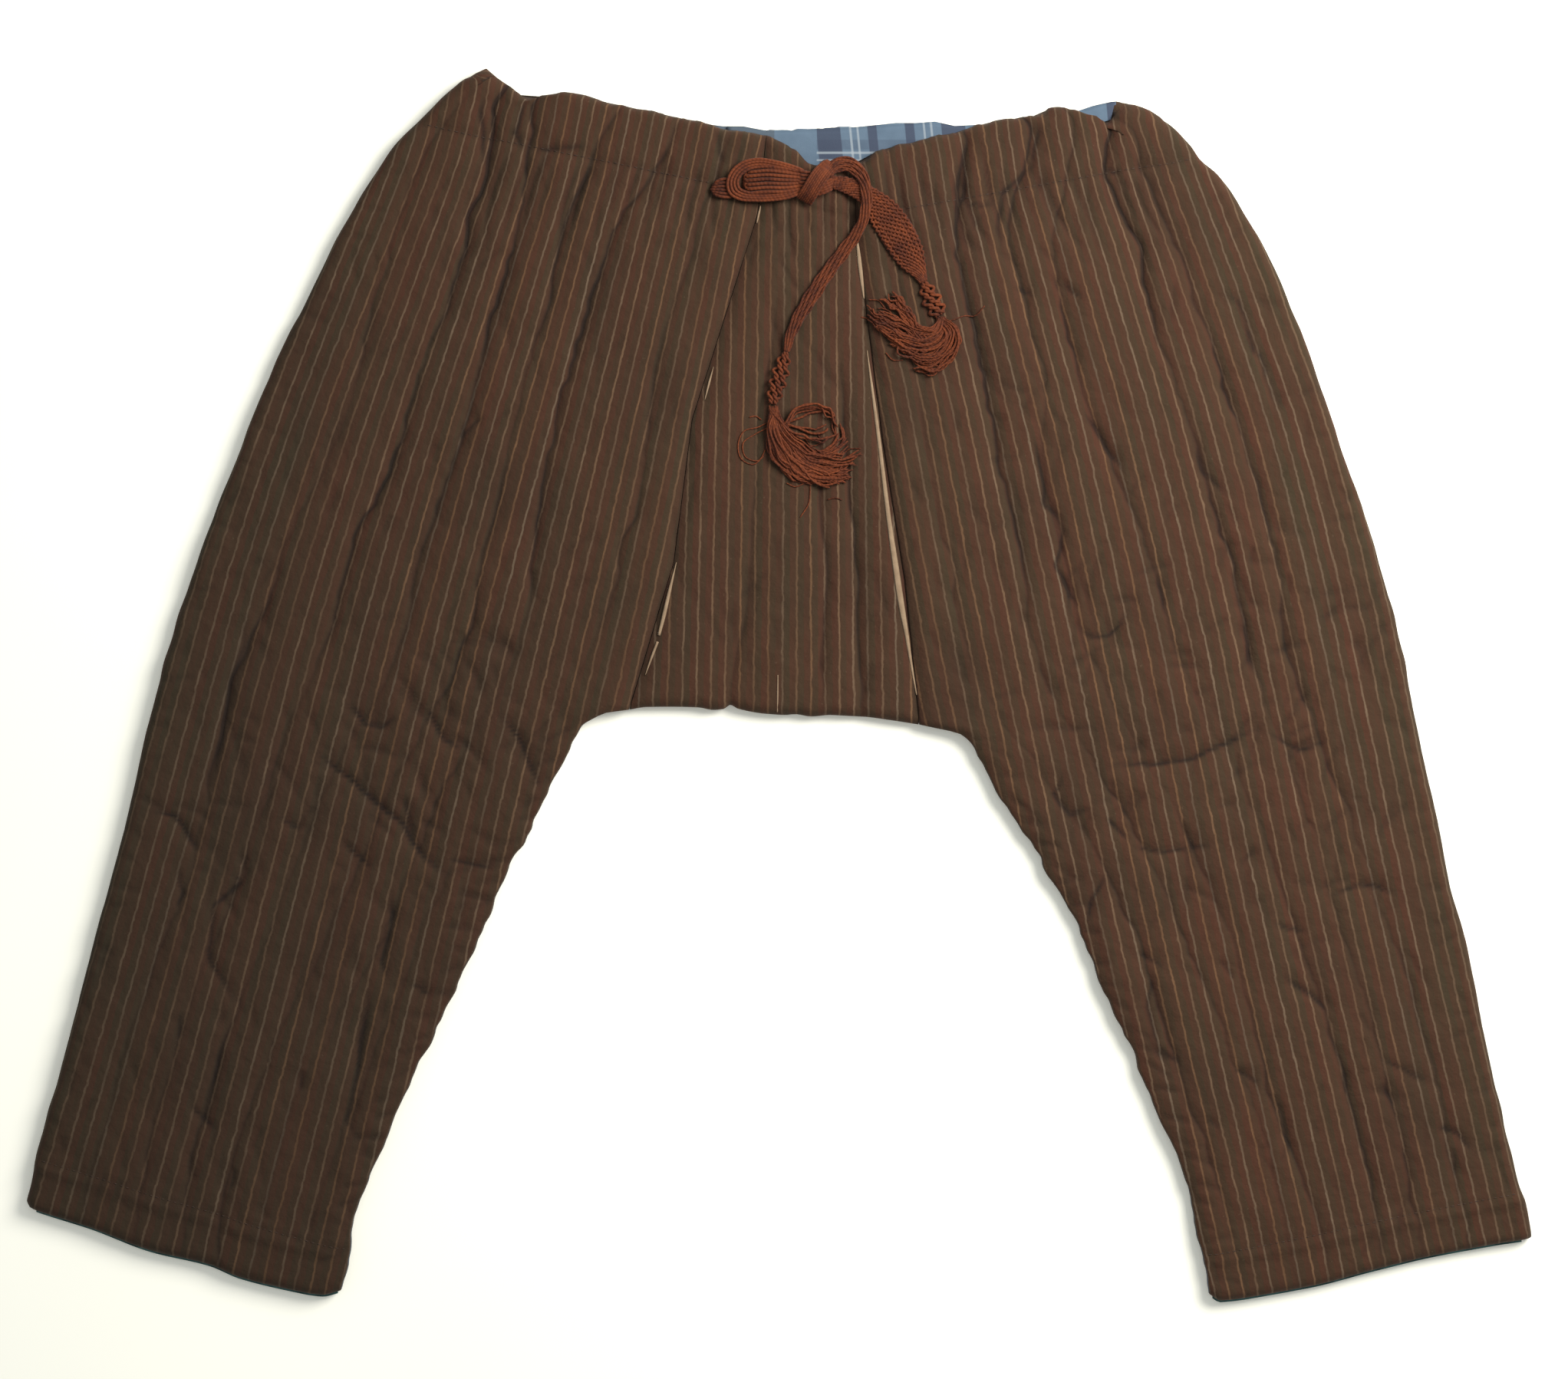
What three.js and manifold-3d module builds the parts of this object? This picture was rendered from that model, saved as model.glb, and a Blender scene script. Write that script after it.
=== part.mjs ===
// Padded trousers with a low crotch, laid flat on the ground: two legs, each one length of wadded
// cloth folded at the outer side, a gusset folded at the crotch, the lining where it shows at the
// back waist and the hems, and a flat braided drawstring tied in a half bow.
// Millimetres, +Z up. The garment lies on z = 0 with its waist towards +Y and its front upwards.
import * as THREE from "three";
import { mergeVertices } from "three/addons/utils/BufferGeometryUtils.js";
import Module from "manifold-3d";

const manifold = await Module();
manifold.setup();

// ---- Driving sizes ------------------------------------------------------------------------------
const SEAM_GAP = 0.3; // between two pieces that are sewn together or lie on each other
const BACK_WALL = 5; // back layer, pressed flat
const FRONT_WALL = 13; // front layer on the crown of a leg's puff
const GUSSET_WALL = 11.5; // and of a gusset's
const LEAST_WALL = 3.5; // front layer at the bottom of a seam or a fold
const LINING_WALL = 1.4;
const LINING_SHOWS = 2; // how far the lining looks out under a hem
const LINING_TUCK = 16; // how far it reaches in behind a hem
const WAIST_TUCK = 22; // how far it reaches down behind the front waist edge
const SIDE_ROUND = 9; // rounding of the outer fold
const EDGE_ROUND = 3; // rounding of a seamed or hemmed edge
const SEAM_DIP = { depth: 8, reach: 9 }; // how a puff falls towards a seam
const HEM_DIP = { depth: 5, reach: 8 }; // how it falls towards a hem or the waist edge
const STITCH_DIP = { depth: 3.2, reach: 5 }; // trough along a row of stitches
const CASING_AT = 0.05; // drawstring casing's stitches, as a share of the leg's length
const HEM_AT = 0.962; // hem's stitches
const LEG_LENGTH = 936; // waist to hem along a seam
const CROTCH_AT = 0.4957; // where the gusset seams end, as a share of the leg's length
const WAIST_REACH = 0.068; // share of the length over which the waist edge's waves die away
const HEM_REACH = 0.08;
const FOLD_HALF_WIDTH = 4.5; // from a fold's bottom to its shoulder
const FOLD_SPREAD = 4; // how many times wider the fold's soft flanks reach
const COLUMN_GAP = 2.4; // least distance between two columns of points
// Rounded edge where a piece is folded: how far in from the edge, as a share of SIDE_ROUND, and how
// high, as a share of the crown beside it.
const FOLDED_EDGE = [
  { inset: 0.3, rise: 0.84, layer: "front" },
  { inset: 0, rise: 0.42, layer: "front" },
  { inset: 0.3, rise: 0.1, layer: "back" },
];

// ---- Tables of the cut --------------------------------------------------------------------------
// The gusset's two seams, straight between these shares of a leg's length.
const SEAMS = [
  { at: 0, left: -10, right: 60 },
  { at: WAIST_REACH, left: -17, right: 63 },
  { at: 0.2447, left: -70, right: 83 },
  { at: 0.3686, left: -85, right: 101 },
  { at: CROTCH_AT, left: -121, right: 113 },
];
// Inner edges past the seams, from the crotch to the hem, and outer edges from the waist to the
// hem: [y, x].
const LEFT_TOP = 444;
const LEFT_INNER = [
  [-20, -121], [-22, -138], [-27, -150], [-33, -160], [-46, -166],
  [-71, -179], [-95, -191], [-120, -202], [-145, -217], [-182, -233], [-257, -267],
  [-306, -291], [-356, -313], [-405, -334], [-430, -343], [-467, -349], [-492, -354],
];
const LEFT_OUTER = [
  [500, -237], [484, -262], [460, -287], [435, -312], [401, -335], [363, -357], [326, -375],
  [252, -411], [177, -441], [103, -470], [29, -494], [-46, -514], [-120, -530],
  [-182, -547], [-257, -567], [-331, -587], [-368, -598], [-405, -606], [-415, -609],
];
const RIGHT_TOP = 423;
const RIGHT_INNER = [
  [-32, 113], [-34, 122],
  [-40, 147], [-54, 160], [-78, 172], [-98, 184], [-133, 208], [-157, 220], [-182, 236],
  [-206, 246], [-257, 267], [-281, 279], [-331, 300], [-381, 322], [-405, 331],
  [-455, 341], [-495, 349],
];
const RIGHT_OUTER = [
  [472, 280], [463, 302], [438, 331], [425, 341], [413, 355], [376, 380], [339, 400],
  [301, 416], [264, 430], [190, 455], [115, 481], [41, 501], [4, 509], [-33, 516],
  [-108, 532], [-157, 541], [-207, 555], [-294, 573], [-343, 584], [-405, 599],
  [-418, 604], [-443, 609],
];

// Waves of the waist and hem edges: [share of the width from the inner edge, rise].
const LEFT_WAIST = [
  [0, 0], [0.12, -2], [0.45, -3.5], [0.56, -5.5], [0.67, -2.7], [0.78, -10], [0.855, -18],
  [0.89, -14], [0.95, -8], [1, 0],
];
const RIGHT_WAIST = [
  [0, 0], [0.04, -2], [0.09, 4.8], [0.39, 6.1], [0.52, 7.6], [0.685, 4.5], [0.72, 8.8],
  [0.84, -1], [0.875, -13], [0.93, -14.7], [0.985, -6], [1, 0],
];
const LEFT_BACK_WAIST = [
  [0, 0], [0.12, -2], [0.3, -9], [0.6, -9], [0.72, -9], [0.855, -22], [1, 0],
];
const RIGHT_BACK_WAIST = [
  [0, 0], [0.28, -2], [0.45, -8.5], [0.72, -7], [0.85, -2.5], [0.97, 1], [1, 0],
];
const LEFT_HEM = [
  [0, 0], [0.06, -8], [0.125, -10.7], [0.32, -13.8], [0.42, -11], [0.61, -14], [0.81, -10.2],
  [0.95, -9.4], [1, 0],
];
const RIGHT_HEM = [
  [0, 0], [0.035, -6.8], [0.13, -8.8], [0.32, -9.6], [0.51, -6.6], [0.7, -4.6], [0.89, -5.4],
  [0.985, -5.5], [1, 0],
];
const GUSSET_WAIST = [[0, 0], [0.3, -3.5], [0.5, -12], [0.83, -7.6], [1, 0]];
const CROTCH_EDGE = [
  [0, 0], [0.085, 4], [0.3, 3.6], [0.52, 2.2], [0.72, 4.7], [0.94, 2.2], [1, 0],
];
const LEFT_BACK_TOP = 449; // back waist edge at the two gusset seams
const RIGHT_BACK_TOP = 452.5;

// Long folds that run down from the gathers: where each lies, as a share of the leg's width from
// the inner edge, and how deep it is, at these shares of the leg's length.
const FOLD_STATIONS = [0, 0.05, 0.1, 0.2, 0.3, 0.4, 0.5, 0.7, 0.85, 1];
const LEFT_FOLDS = [
  { at: [0.12, 0.13, 0.14, 0.13, 0.1, 0.113, 0.11, 0.15, 0.13, 0.15],
    deep: [2, 3, 2, 3, 5, 5, 6, 2, 3, 2] },
  { at: [0.3, 0.302, 0.346, 0.332, 0.316, 0.291, 0.25, 0.24, 0.29, 0.28],
    deep: [3, 7, 8, 8, 6, 6, 6, 5, 3, 2] },
  { at: [0.5, 0.49, 0.472, 0.426, 0.41, 0.4, 0.36, 0.38, 0.42, 0.4],
    deep: [3, 5, 6, 5, 5, 6, 5, 2, 2, 4] },
  { at: [0.8, 0.66, 0.6, 0.55, 0.525, 0.535, 0.5, 0.54, 0.55, 0.5],
    deep: [8, 8, 7, 8, 8, 6, 5, 2, 5, 3] },
  { at: [0.92, 0.775, 0.717, 0.665, 0.655, 0.681, 0.66, 0.67, 0.68, 0.66],
    deep: [7, 9, 8, 7, 8, 6, 4, 2, 4, 2] },
  { at: [0.97, 0.93, 0.89, 0.837, 0.79, 0.82, 0.826, 0.8, 0.82, 0.82],
    deep: [0, 4, 5, 4, 2, 3, 6, 3, 2, 2] },
];
const RIGHT_FOLDS = [
  { at: [0.12, 0.12, 0.1, 0.1, 0.1, 0.11, 0.12, 0.14, 0.1, 0.12],
    deep: [3, 3, 2, 1, 2, 3, 3, 5, 4, 2] },
  { at: [0.4, 0.29, 0.252, 0.255, 0.25, 0.255, 0.25, 0.26, 0.27, 0.27],
    deep: [8, 9, 9, 9, 6, 4, 3, 3, 4, 2] },
  { at: [0.62, 0.47, 0.385, 0.39, 0.34, 0.35, 0.36, 0.38, 0.34, 0.38],
    deep: [7, 6, 4, 4, 4, 3, 2, 2, 4, 2] },
  { at: [0.76, 0.6, 0.5, 0.468, 0.5, 0.53, 0.54, 0.56, 0.56, 0.53],
    deep: [3, 4, 4, 5, 6, 4, 2, 4, 5, 2] },
  { at: [0.88, 0.72, 0.705, 0.67, 0.685, 0.69, 0.68, 0.68, 0.68, 0.66],
    deep: [8, 7, 7, 6, 5, 5, 3, 2, 4, 2] },
  { at: [0.955, 0.83, 0.79, 0.786, 0.79, 0.783, 0.76, 0.8, 0.82, 0.8],
    deep: [4, 7, 8, 7, 7, 6, 5, 3, 3, 3] },
];
const GUSSET_FOLDS = [
  { at: 0.34, deep: 2.5, from: 0.25, to: 1 },
  { at: 0.66, deep: 4, from: 0.45, to: 0.95 },
  { at: 0.8, deep: 5, from: 0.35, to: 1 },
];
// Creases across the knees: from, to, depth.
const CREASES = [
  { from: [-377, -49], to: [-315, -104], deep: 5 },
  { from: [-350, -5], to: [-315, -30], deep: 4 },
  { from: [-284, -18], to: [-250, -60], deep: 4 },
  { from: [-226, -22], to: [-197, -85], deep: 5 },
  { from: [-299, -91], to: [-270, -150], deep: 4.5 },
  { from: [-268, -138], to: [-233, -149], deep: 3.5 },
  { from: [-350, -125], to: [-326, -149], deep: 4 },
  { from: [-500, -105], to: [-462, -135], deep: 4.5 },
  { from: [300, -52], to: [388, -32], deep: 4.5 },
  { from: [255, -64], to: [298, -62], deep: 4 },
  { from: [258, -100], to: [283, -128], deep: 4.5 },
  { from: [283, -130], to: [330, -132], deep: 3.5 },
  { from: [250, -195], to: [258, -149], deep: 4.5 },
  { from: [444, -168], to: [499, -160], deep: 4 },
  { from: [405, -233], to: [430, -252], deep: 4 },
  { from: [300, -298], to: [325, -308], deep: 4 },
  { from: [250, 210], to: [277, 176], deep: 5 },
  { from: [530, -355], to: [556, -376], deep: 4 },
];
const CREASE_REACH = 6.5;

// Rows of points down a leg, as shares of its length: close at the casing, crotch, knee and hem.
const ROWS = [
  0, 0.008, 0.022, 0.038, CASING_AT, 0.059, ...steps(WAIST_REACH, 0.2447, 8),
  ...steps(0.2447, 0.3686, 6).slice(1), ...steps(0.3686, CROTCH_AT, 6).slice(1),
  0.4985, 0.503, 0.5096, ...steps(0.522, 0.658, 10), ...steps(0.685, 0.945, 9),
  0.955, HEM_AT, 0.969, 0.985, 0.993, 1,
];

function steps(first, last, count) {
  return Array.from({ length: count }, (_, i) => first + ((last - first) * i) / (count - 1));
}

// ---- Small helpers ------------------------------------------------------------------------------
const mix = (a, b, s) => a + (b - a) * s;
const clamp01 = (s) => Math.min(1, Math.max(0, s));
const bell = (distance, reach) => Math.exp(-((distance / reach) ** 2));

// A curve through (x, y) pairs in rising x that never swings past them.
function smoothCurve(pairs) {
  const x = pairs.map((p) => p[0]);
  const y = pairs.map((p) => p[1]);
  const last = x.length - 1;
  const rise = x.slice(1).map((v, i) => (y[i + 1] - y[i]) / (v - x[i]));
  const slope = x.map((_, i) => {
    if (i === 0) return rise[0];
    if (i === last) return rise[last - 1];
    return rise[i - 1] * rise[i] <= 0 ? 0 : 2 / (1 / rise[i - 1] + 1 / rise[i]);
  });
  return (at) => {
    const v = Math.min(x[last], Math.max(x[0], at));
    let i = 0;
    while (i < last - 1 && v > x[i + 1]) i += 1;
    const h = x[i + 1] - x[i];
    const s = (v - x[i]) / h;
    const a = (1 + 2 * s) * (1 - s) ** 2 * y[i] + s * (1 - s) ** 2 * h * slope[i];
    return a + s * s * (3 - 2 * s) * y[i + 1] + s * s * (s - 1) * h * slope[i + 1];
  };
}
const edgeCurve = (table) => smoothCurve([...table].reverse());
const columnCurve = (values) => smoothCurve(values.map((v, i) => [FOLD_STATIONS[i], v]));

function material(color, roughness) {
  return new THREE.MeshStandardMaterial({ color, roughness, metalness: 0 });
}
const stripedCotton = () => material(0x5c4232, 0.9);
const blueCotton = () => material(0x5a86ac, 0.88);
const rustBraid = () => material(0x8a3c1c, 0.8);

// A closed mesh from points and triangles, turned so that its faces point out.
function solid(name, finish, points, faces) {
  let volume = 0;
  const cross = new THREE.Vector3();
  for (const [a, b, c] of faces) volume += points[a].dot(cross.crossVectors(points[b], points[c]));
  const index = faces.flatMap(([a, b, c]) => (volume < 0 ? [a, c, b] : [a, b, c]));
  const geometry = new THREE.BufferGeometry().setFromPoints(points).setIndex(index);
  geometry.computeVertexNormals();
  const mesh = new THREE.Mesh(geometry, finish);
  mesh.name = name;
  return mesh;
}

// A solid through rings of equally many points. The first `outer` points of a ring run along one
// side of the wall and the rest run back along the other, and each end is closed between the two.
function throughRings(name, finish, rings, outer) {
  const size = rings[0].length;
  const faces = [];
  for (let r = 0; r + 1 < rings.length; r += 1) {
    for (let i = 0; i < size; i += 1) {
      const a = r * size + i;
      const b = r * size + ((i + 1) % size);
      faces.push([a, b, a + size], [b, b + size, a + size]);
    }
  }
  const start = (rings.length - 1) * size;
  for (const [a, b, c] of acrossRing(rings[0], outer)) faces.push([a, c, b]);
  for (const [a, b, c] of acrossRing(rings[rings.length - 1], outer)) {
    faces.push([start + a, start + b, start + c]);
  }
  return solid(name, finish, rings.flat(), faces);
}

// Triangles between the two sides of a ring, by the shorter of the next two diagonals.
function acrossRing(ring, outer) {
  const faces = [];
  let i = 0;
  let j = ring.length - 1;
  while (i < outer - 1 || j > outer) {
    const canStep = i < outer - 1;
    const canBack = j > outer;
    const step = canStep ? ring[i + 1].distanceTo(ring[j]) : Infinity;
    const back = canBack ? ring[i].distanceTo(ring[j - 1]) : Infinity;
    if (step <= back) {
      faces.push([i, i + 1, j]);
      i += 1;
    } else {
      faces.push([i, j - 1, j]);
      j -= 1;
    }
  }
  return faces;
}

// ---- The two legs -------------------------------------------------------------------------------
function makeLeg({ side, innerTop, inner, outer, waist, backWaist, backTop, hem, folds }) {
  const inseamX = edgeCurve(inner);
  const outerX = edgeCurve(outer);
  const waistRise = smoothCurve(waist);
  const backRise = smoothCurve(backWaist);
  const hemRise = smoothCurve(hem);
  const foldCurves = folds.map((f) => ({ at: columnCurve(f.at), deep: columnCurve(f.deep) }));
  const innerBottom = inner[inner.length - 1][0];
  const outerTop = outer[0][0];
  const outerBottom = outer[outer.length - 1][0];
  const toOuter = Math.sign(outer[0][1] - inner[0][1]);

  const innerY = (t) => mix(innerTop, innerBottom, t);
  const outerY = (t) => mix(outerTop, outerBottom, t);
  const innerX = (t) => (t <= CROTCH_AT ? seamX(side, t) : inseamX(innerY(t)));
  const innerEdge = (t) => new THREE.Vector2(innerX(t) + (toOuter * SEAM_GAP) / 2, innerY(t));
  const outerEdge = (t) => new THREE.Vector2(outerX(outerY(t)), outerY(t));
  const width = (t) => innerEdge(t).distanceTo(outerEdge(t));
  const hemShare = (t) => clamp01((t - 1 + HEM_REACH) / HEM_REACH) ** 2;
  const waistShare = (t) => clamp01(1 - t / WAIST_REACH) ** 2;

  function frontAt(u, t) {
    const p = innerEdge(t).lerp(outerEdge(t), u);
    p.y += waistRise(u) * waistShare(t) + (hemRise(u) + LINING_SHOWS) * hemShare(t);
    return p;
  }
  function backAt(u, t) {
    const p = innerEdge(t).lerp(outerEdge(t), u);
    const lift = (backTop - innerTop) * (1 - u) + backRise(u);
    p.y += lift * waistShare(t) + (hemRise(u) + LINING_SHOWS) * hemShare(t);
    return p;
  }

  // Height of the front layer over its own inside.
  function wall(u, t) {
    const w = width(t);
    const p = frontAt(u, t);
    let h = FRONT_WALL;
    h -= SEAM_DIP.depth * bell(u * w, SEAM_DIP.reach);
    h -= HEM_DIP.depth * bell(t * LEG_LENGTH, HEM_DIP.reach);
    h -= HEM_DIP.depth * bell((1 - t) * LEG_LENGTH, HEM_DIP.reach);
    h -= STITCH_DIP.depth * bell((t - CASING_AT) * LEG_LENGTH, STITCH_DIP.reach);
    h -= STITCH_DIP.depth * bell((t - HEM_AT) * LEG_LENGTH, STITCH_DIP.reach);
    for (const fold of foldCurves) {
      const away = (u - fold.at(t)) * w;
      const bottom = 0.6 * bell(away, FOLD_HALF_WIDTH);
      const flanks = 0.4 * bell(away, FOLD_SPREAD * FOLD_HALF_WIDTH);
      h -= fold.deep(t) * (bottom + flanks);
    }
    for (const crease of CREASES) h -= crease.deep * bell(distanceTo(crease, p), CREASE_REACH);
    return Math.max(LEAST_WALL, h);
  }

  return { folds: foldCurves, innerEdge, outerEdge, width, frontAt, backAt, wall };
}

function seamX(side, t) {
  const k = SEAMS.findIndex((knot, i) => i > 0 && t <= knot.at);
  const [above, below] = [SEAMS[k - 1], SEAMS[k]];
  return mix(above[side], below[side], (t - above.at) / (below.at - above.at));
}

function distanceTo({ from, to }, p) {
  const [dx, dy] = [to[0] - from[0], to[1] - from[1]];
  const along = clamp01(((p.x - from[0]) * dx + (p.y - from[1]) * dy) / (dx * dx + dy * dy));
  return Math.hypot(p.x - from[0] - along * dx, p.y - from[1] - along * dy);
}

// Height of the front layer's inside: it rises over the lining at the waist and the hem.
const OVER_BACK = BACK_WALL + SEAM_GAP;
const OVER_LINING = OVER_BACK + LINING_WALL + SEAM_GAP;
const WAIST_LINING_TO = 0.038; // shares of the length between which the lining lies
const HEM_LINING_FROM = 0.962;
function insideHeight(t) {
  const waist = clamp01(1 - (t - WAIST_LINING_TO) / 0.05);
  const hem = clamp01(1 - (HEM_LINING_FROM - t) / 0.01);
  return mix(OVER_BACK, OVER_LINING, Math.max(waist, hem));
}

// Columns of points across a leg's front: each fold's bottom and shoulders, and the crowns between.
function frontColumns(leg, t) {
  const w = leg.width(t);
  const last = 1 - SIDE_ROUND / w;
  const bottoms = leg.folds.map((f) => f.at(t));
  const stops = [0, ...bottoms, 1];
  const columns = [EDGE_ROUND / w, 9 / w];
  bottoms.forEach((u, k) => {
    columns.push((stops[k] + u) / 2 + (k === 0 ? 4 / w : 0));
    columns.push(u - FOLD_HALF_WIDTH / w, u, u + FOLD_HALF_WIDTH / w);
  });
  columns.push((bottoms[bottoms.length - 1] + last) / 2, last);
  const least = COLUMN_GAP / w;
  for (let i = 1; i < columns.length; i += 1) {
    columns[i] = Math.max(columns[i], columns[i - 1] + least);
  }
  columns[columns.length - 1] = last;
  for (let i = columns.length - 2; i >= 0; i -= 1) {
    columns[i] = Math.min(columns[i], columns[i + 1] - least);
  }
  return columns;
}

// One ring round a leg's folded wall: the front's outside, the outer fold, the underside, the back's
// inner edge, then the inside of the back and of the front, and the front's inner edge.
function legRing(leg, t, insideColumns) {
  const w = leg.width(t);
  const inside = insideHeight(t);
  const columns = frontColumns(leg, t);
  const last = columns[columns.length - 1];
  const crown = inside + leg.wall(last, t);
  const ring = [];
  const add = (at, u, z) => {
    const p = at(u, t);
    ring.push(new THREE.Vector3(p.x, p.y, z));
  };
  const edgeTop = inside + LEAST_WALL;
  for (const u of columns) add(leg.frontAt, u, inside + leg.wall(u, t));
  const sideAt = (share) => 1 - (share * SIDE_ROUND) / w;
  for (const { inset, rise, layer } of FOLDED_EDGE) {
    add(layer === "front" ? leg.frontAt : leg.backAt, sideAt(inset), crown * rise);
  }
  add(leg.backAt, last, 0);
  const outward = [...insideColumns].reverse();
  for (const u of outward) add(leg.backAt, u, 0);
  add(leg.backAt, EDGE_ROUND / w, 0);
  add(leg.backAt, 0, 0.3 * BACK_WALL);
  const outer = ring.length;
  add(leg.backAt, 0, 0.8 * BACK_WALL);
  add(leg.backAt, EDGE_ROUND / w, BACK_WALL);
  for (const u of insideColumns) add(leg.backAt, u, BACK_WALL);
  add(leg.backAt, sideAt(1.3), BACK_WALL);
  add(leg.frontAt, sideAt(1.3), inside);
  for (const u of outward) add(leg.frontAt, u, inside);
  add(leg.frontAt, (0.4 * EDGE_ROUND) / w, inside);
  add(leg.frontAt, 0, inside + 0.3 * LEAST_WALL);
  add(leg.frontAt, 0, edgeTop - 0.2 * LEAST_WALL);
  return { ring, outer };
}

function legSolid(name, leg, insideColumns) {
  const rows = ROWS.map((t) => legRing(leg, t, insideColumns));
  return throughRings(name, stripedCotton(), rows.map((row) => row.ring), rows[0].outer);
}

// ---- Gusset -------------------------------------------------------------------------------------
// The gusset shares the legs' rows of points along its two seams, so that the edges run parallel.
const GUSSET_ROWS = ROWS.filter((t) => t < CROTCH_AT - 0.01);
const GUSSET_COLUMNS = [
  0, 0.03, 0.08, 0.17, 0.28, 0.34, 0.4, 0.52, 0.61, 0.66, 0.7, 0.76, 0.8, 0.84, 0.91, 0.97, 1,
];
const SEAM_ROWS = SEAMS.map((knot) => knot.at).slice(1, -1);

function makeGusset(leftLeg, rightLeg) {
  const waistRise = smoothCurve(GUSSET_WAIST);
  const crotchRise = smoothCurve(CROTCH_EDGE);
  const span = (t) => rightLeg.innerEdge(t).x - leftLeg.innerEdge(t).x;

  // t runs down the front from the waist to the crotch fold.
  function frontAt(u, t) {
    const left = leftLeg.innerEdge(t);
    const right = rightLeg.innerEdge(t);
    left.x += SEAM_GAP;
    right.x -= SEAM_GAP;
    const p = left.lerp(right, u);
    const down = t / CROTCH_AT;
    p.y += waistRise(u) * clamp01(1 - down / 0.2) ** 2 + crotchRise(u) * down ** 6;
    return p;
  }
  function backAt(u, t) {
    const p = frontAt(u, t);
    const lift = mix(LEFT_BACK_TOP - leftLeg.innerEdge(0).y,
      RIGHT_BACK_TOP - rightLeg.innerEdge(0).y, u) - waistRise(u);
    p.y += lift * clamp01(1 - t / WAIST_REACH) ** 2;
    return p;
  }
  function wall(u, t) {
    const w = span(t);
    let h = GUSSET_WALL;
    h -= SEAM_DIP.depth * bell(u * w, SEAM_DIP.reach);
    h -= SEAM_DIP.depth * bell((1 - u) * w, SEAM_DIP.reach);
    h -= HEM_DIP.depth * bell(t * LEG_LENGTH, HEM_DIP.reach);
    h -= STITCH_DIP.depth * bell((t - CASING_AT) * LEG_LENGTH, STITCH_DIP.reach);
    for (const fold of GUSSET_FOLDS) {
      const along = t / CROTCH_AT;
      const share = clamp01((along - fold.from) / 0.12) * clamp01((fold.to - along) / 0.12 + 0.4);
      h -= fold.deep * share * bell((u - fold.at) * w, 1.3 * FOLD_HALF_WIDTH);
    }
    return Math.max(LEAST_WALL, h);
  }
  return { frontAt, backAt, wall };
}

// One ring down the front, round the crotch fold and back up, at one share of the gusset's width.
function gussetRing(gusset, u) {
  const ring = [];
  const add = (at, t, z, inward = 0) => {
    const p = at(u, Math.max(0, t - inward / LEG_LENGTH));
    ring.push(new THREE.Vector3(p.x, p.y, z));
  };
  for (const t of GUSSET_ROWS) add(gusset.frontAt, t, insideHeight(t) + gusset.wall(u, t));
  const crown = insideHeight(CROTCH_AT) + gusset.wall(u, CROTCH_AT);
  add(gusset.frontAt, CROTCH_AT, crown, SIDE_ROUND);
  for (const { inset, rise, layer } of FOLDED_EDGE) {
    add(layer === "front" ? gusset.frontAt : gusset.backAt, CROTCH_AT, crown * rise, inset * SIDE_ROUND);
  }
  add(gusset.backAt, CROTCH_AT, 0, SIDE_ROUND);
  const upward = [...SEAM_ROWS].reverse();
  for (const t of [...upward, 0.03]) add(gusset.backAt, t, 0);
  add(gusset.backAt, 0, 0.3 * BACK_WALL);
  const outer = ring.length;
  add(gusset.backAt, 0, 0.8 * BACK_WALL);
  for (const t of [0.03, ...SEAM_ROWS]) add(gusset.backAt, t, BACK_WALL);
  add(gusset.backAt, CROTCH_AT, BACK_WALL, 1.4 * SIDE_ROUND);
  add(gusset.frontAt, CROTCH_AT, insideHeight(CROTCH_AT), 1.4 * SIDE_ROUND);
  for (const t of [...upward, CASING_AT, 0.03]) add(gusset.frontAt, t, insideHeight(t));
  add(gusset.frontAt, 0, insideHeight(0));
  return { ring, outer };
}

function gussetSolid(gusset) {
  const columns = GUSSET_COLUMNS.map((u) => gussetRing(gusset, u));
  return throughRings("gusset", stripedCotton(), columns.map((c) => c.ring), columns[0].outer);
}

// ---- Lining -------------------------------------------------------------------------------------
// A flat strip between two lines of points, lying on the back layer.
function liningStrip(name, pairs) {
  const low = OVER_BACK;
  const high = OVER_BACK + LINING_WALL;
  const rings = pairs.map(([a, b]) => [
    new THREE.Vector3(a.x, a.y, low),
    new THREE.Vector3(b.x, b.y, low),
    new THREE.Vector3(b.x, b.y, high),
    new THREE.Vector3(a.x, a.y, high),
  ]);
  return throughRings(name, blueCotton(), rings, 2);
}

const below = (p, drop) => new THREE.Vector2(p.x, p.y - drop);
const HEM_COLUMNS = [0.01, 0.035, 0.07, 0.125, 0.22, 0.32, 0.42, 0.52, 0.61, 0.7, 0.81, 0.89, 0.94];

function hemLining(name, leg) {
  const tuck = 1 - LINING_TUCK / LEG_LENGTH;
  const pairs = HEM_COLUMNS.map((u) => [below(leg.frontAt(u, 1), LINING_SHOWS), leg.frontAt(u, tuck)]);
  return liningStrip(name, pairs);
}

function waistLining(left, middle, right) {
  const along = [
    ...[0.14, 0.07].map((u) => [left, u]),
    ...[0.02, 0.25, 0.5, 0.75, 0.98].map((u) => [middle, u]),
    ...[0.06, 0.13, 0.2, 0.28, 0.36, 0.45, 0.55, 0.65, 0.72, 0.8, 0.86, 0.9, 0.94].map((u) => [right, u]),
  ];
  const pairs = along.map(([piece, u]) => [
    below(piece.backAt(u, 0), 1), below(piece.frontAt(u, 0), WAIST_TUCK),
  ]);
  return liningStrip("lining_waist", pairs);
}

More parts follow.
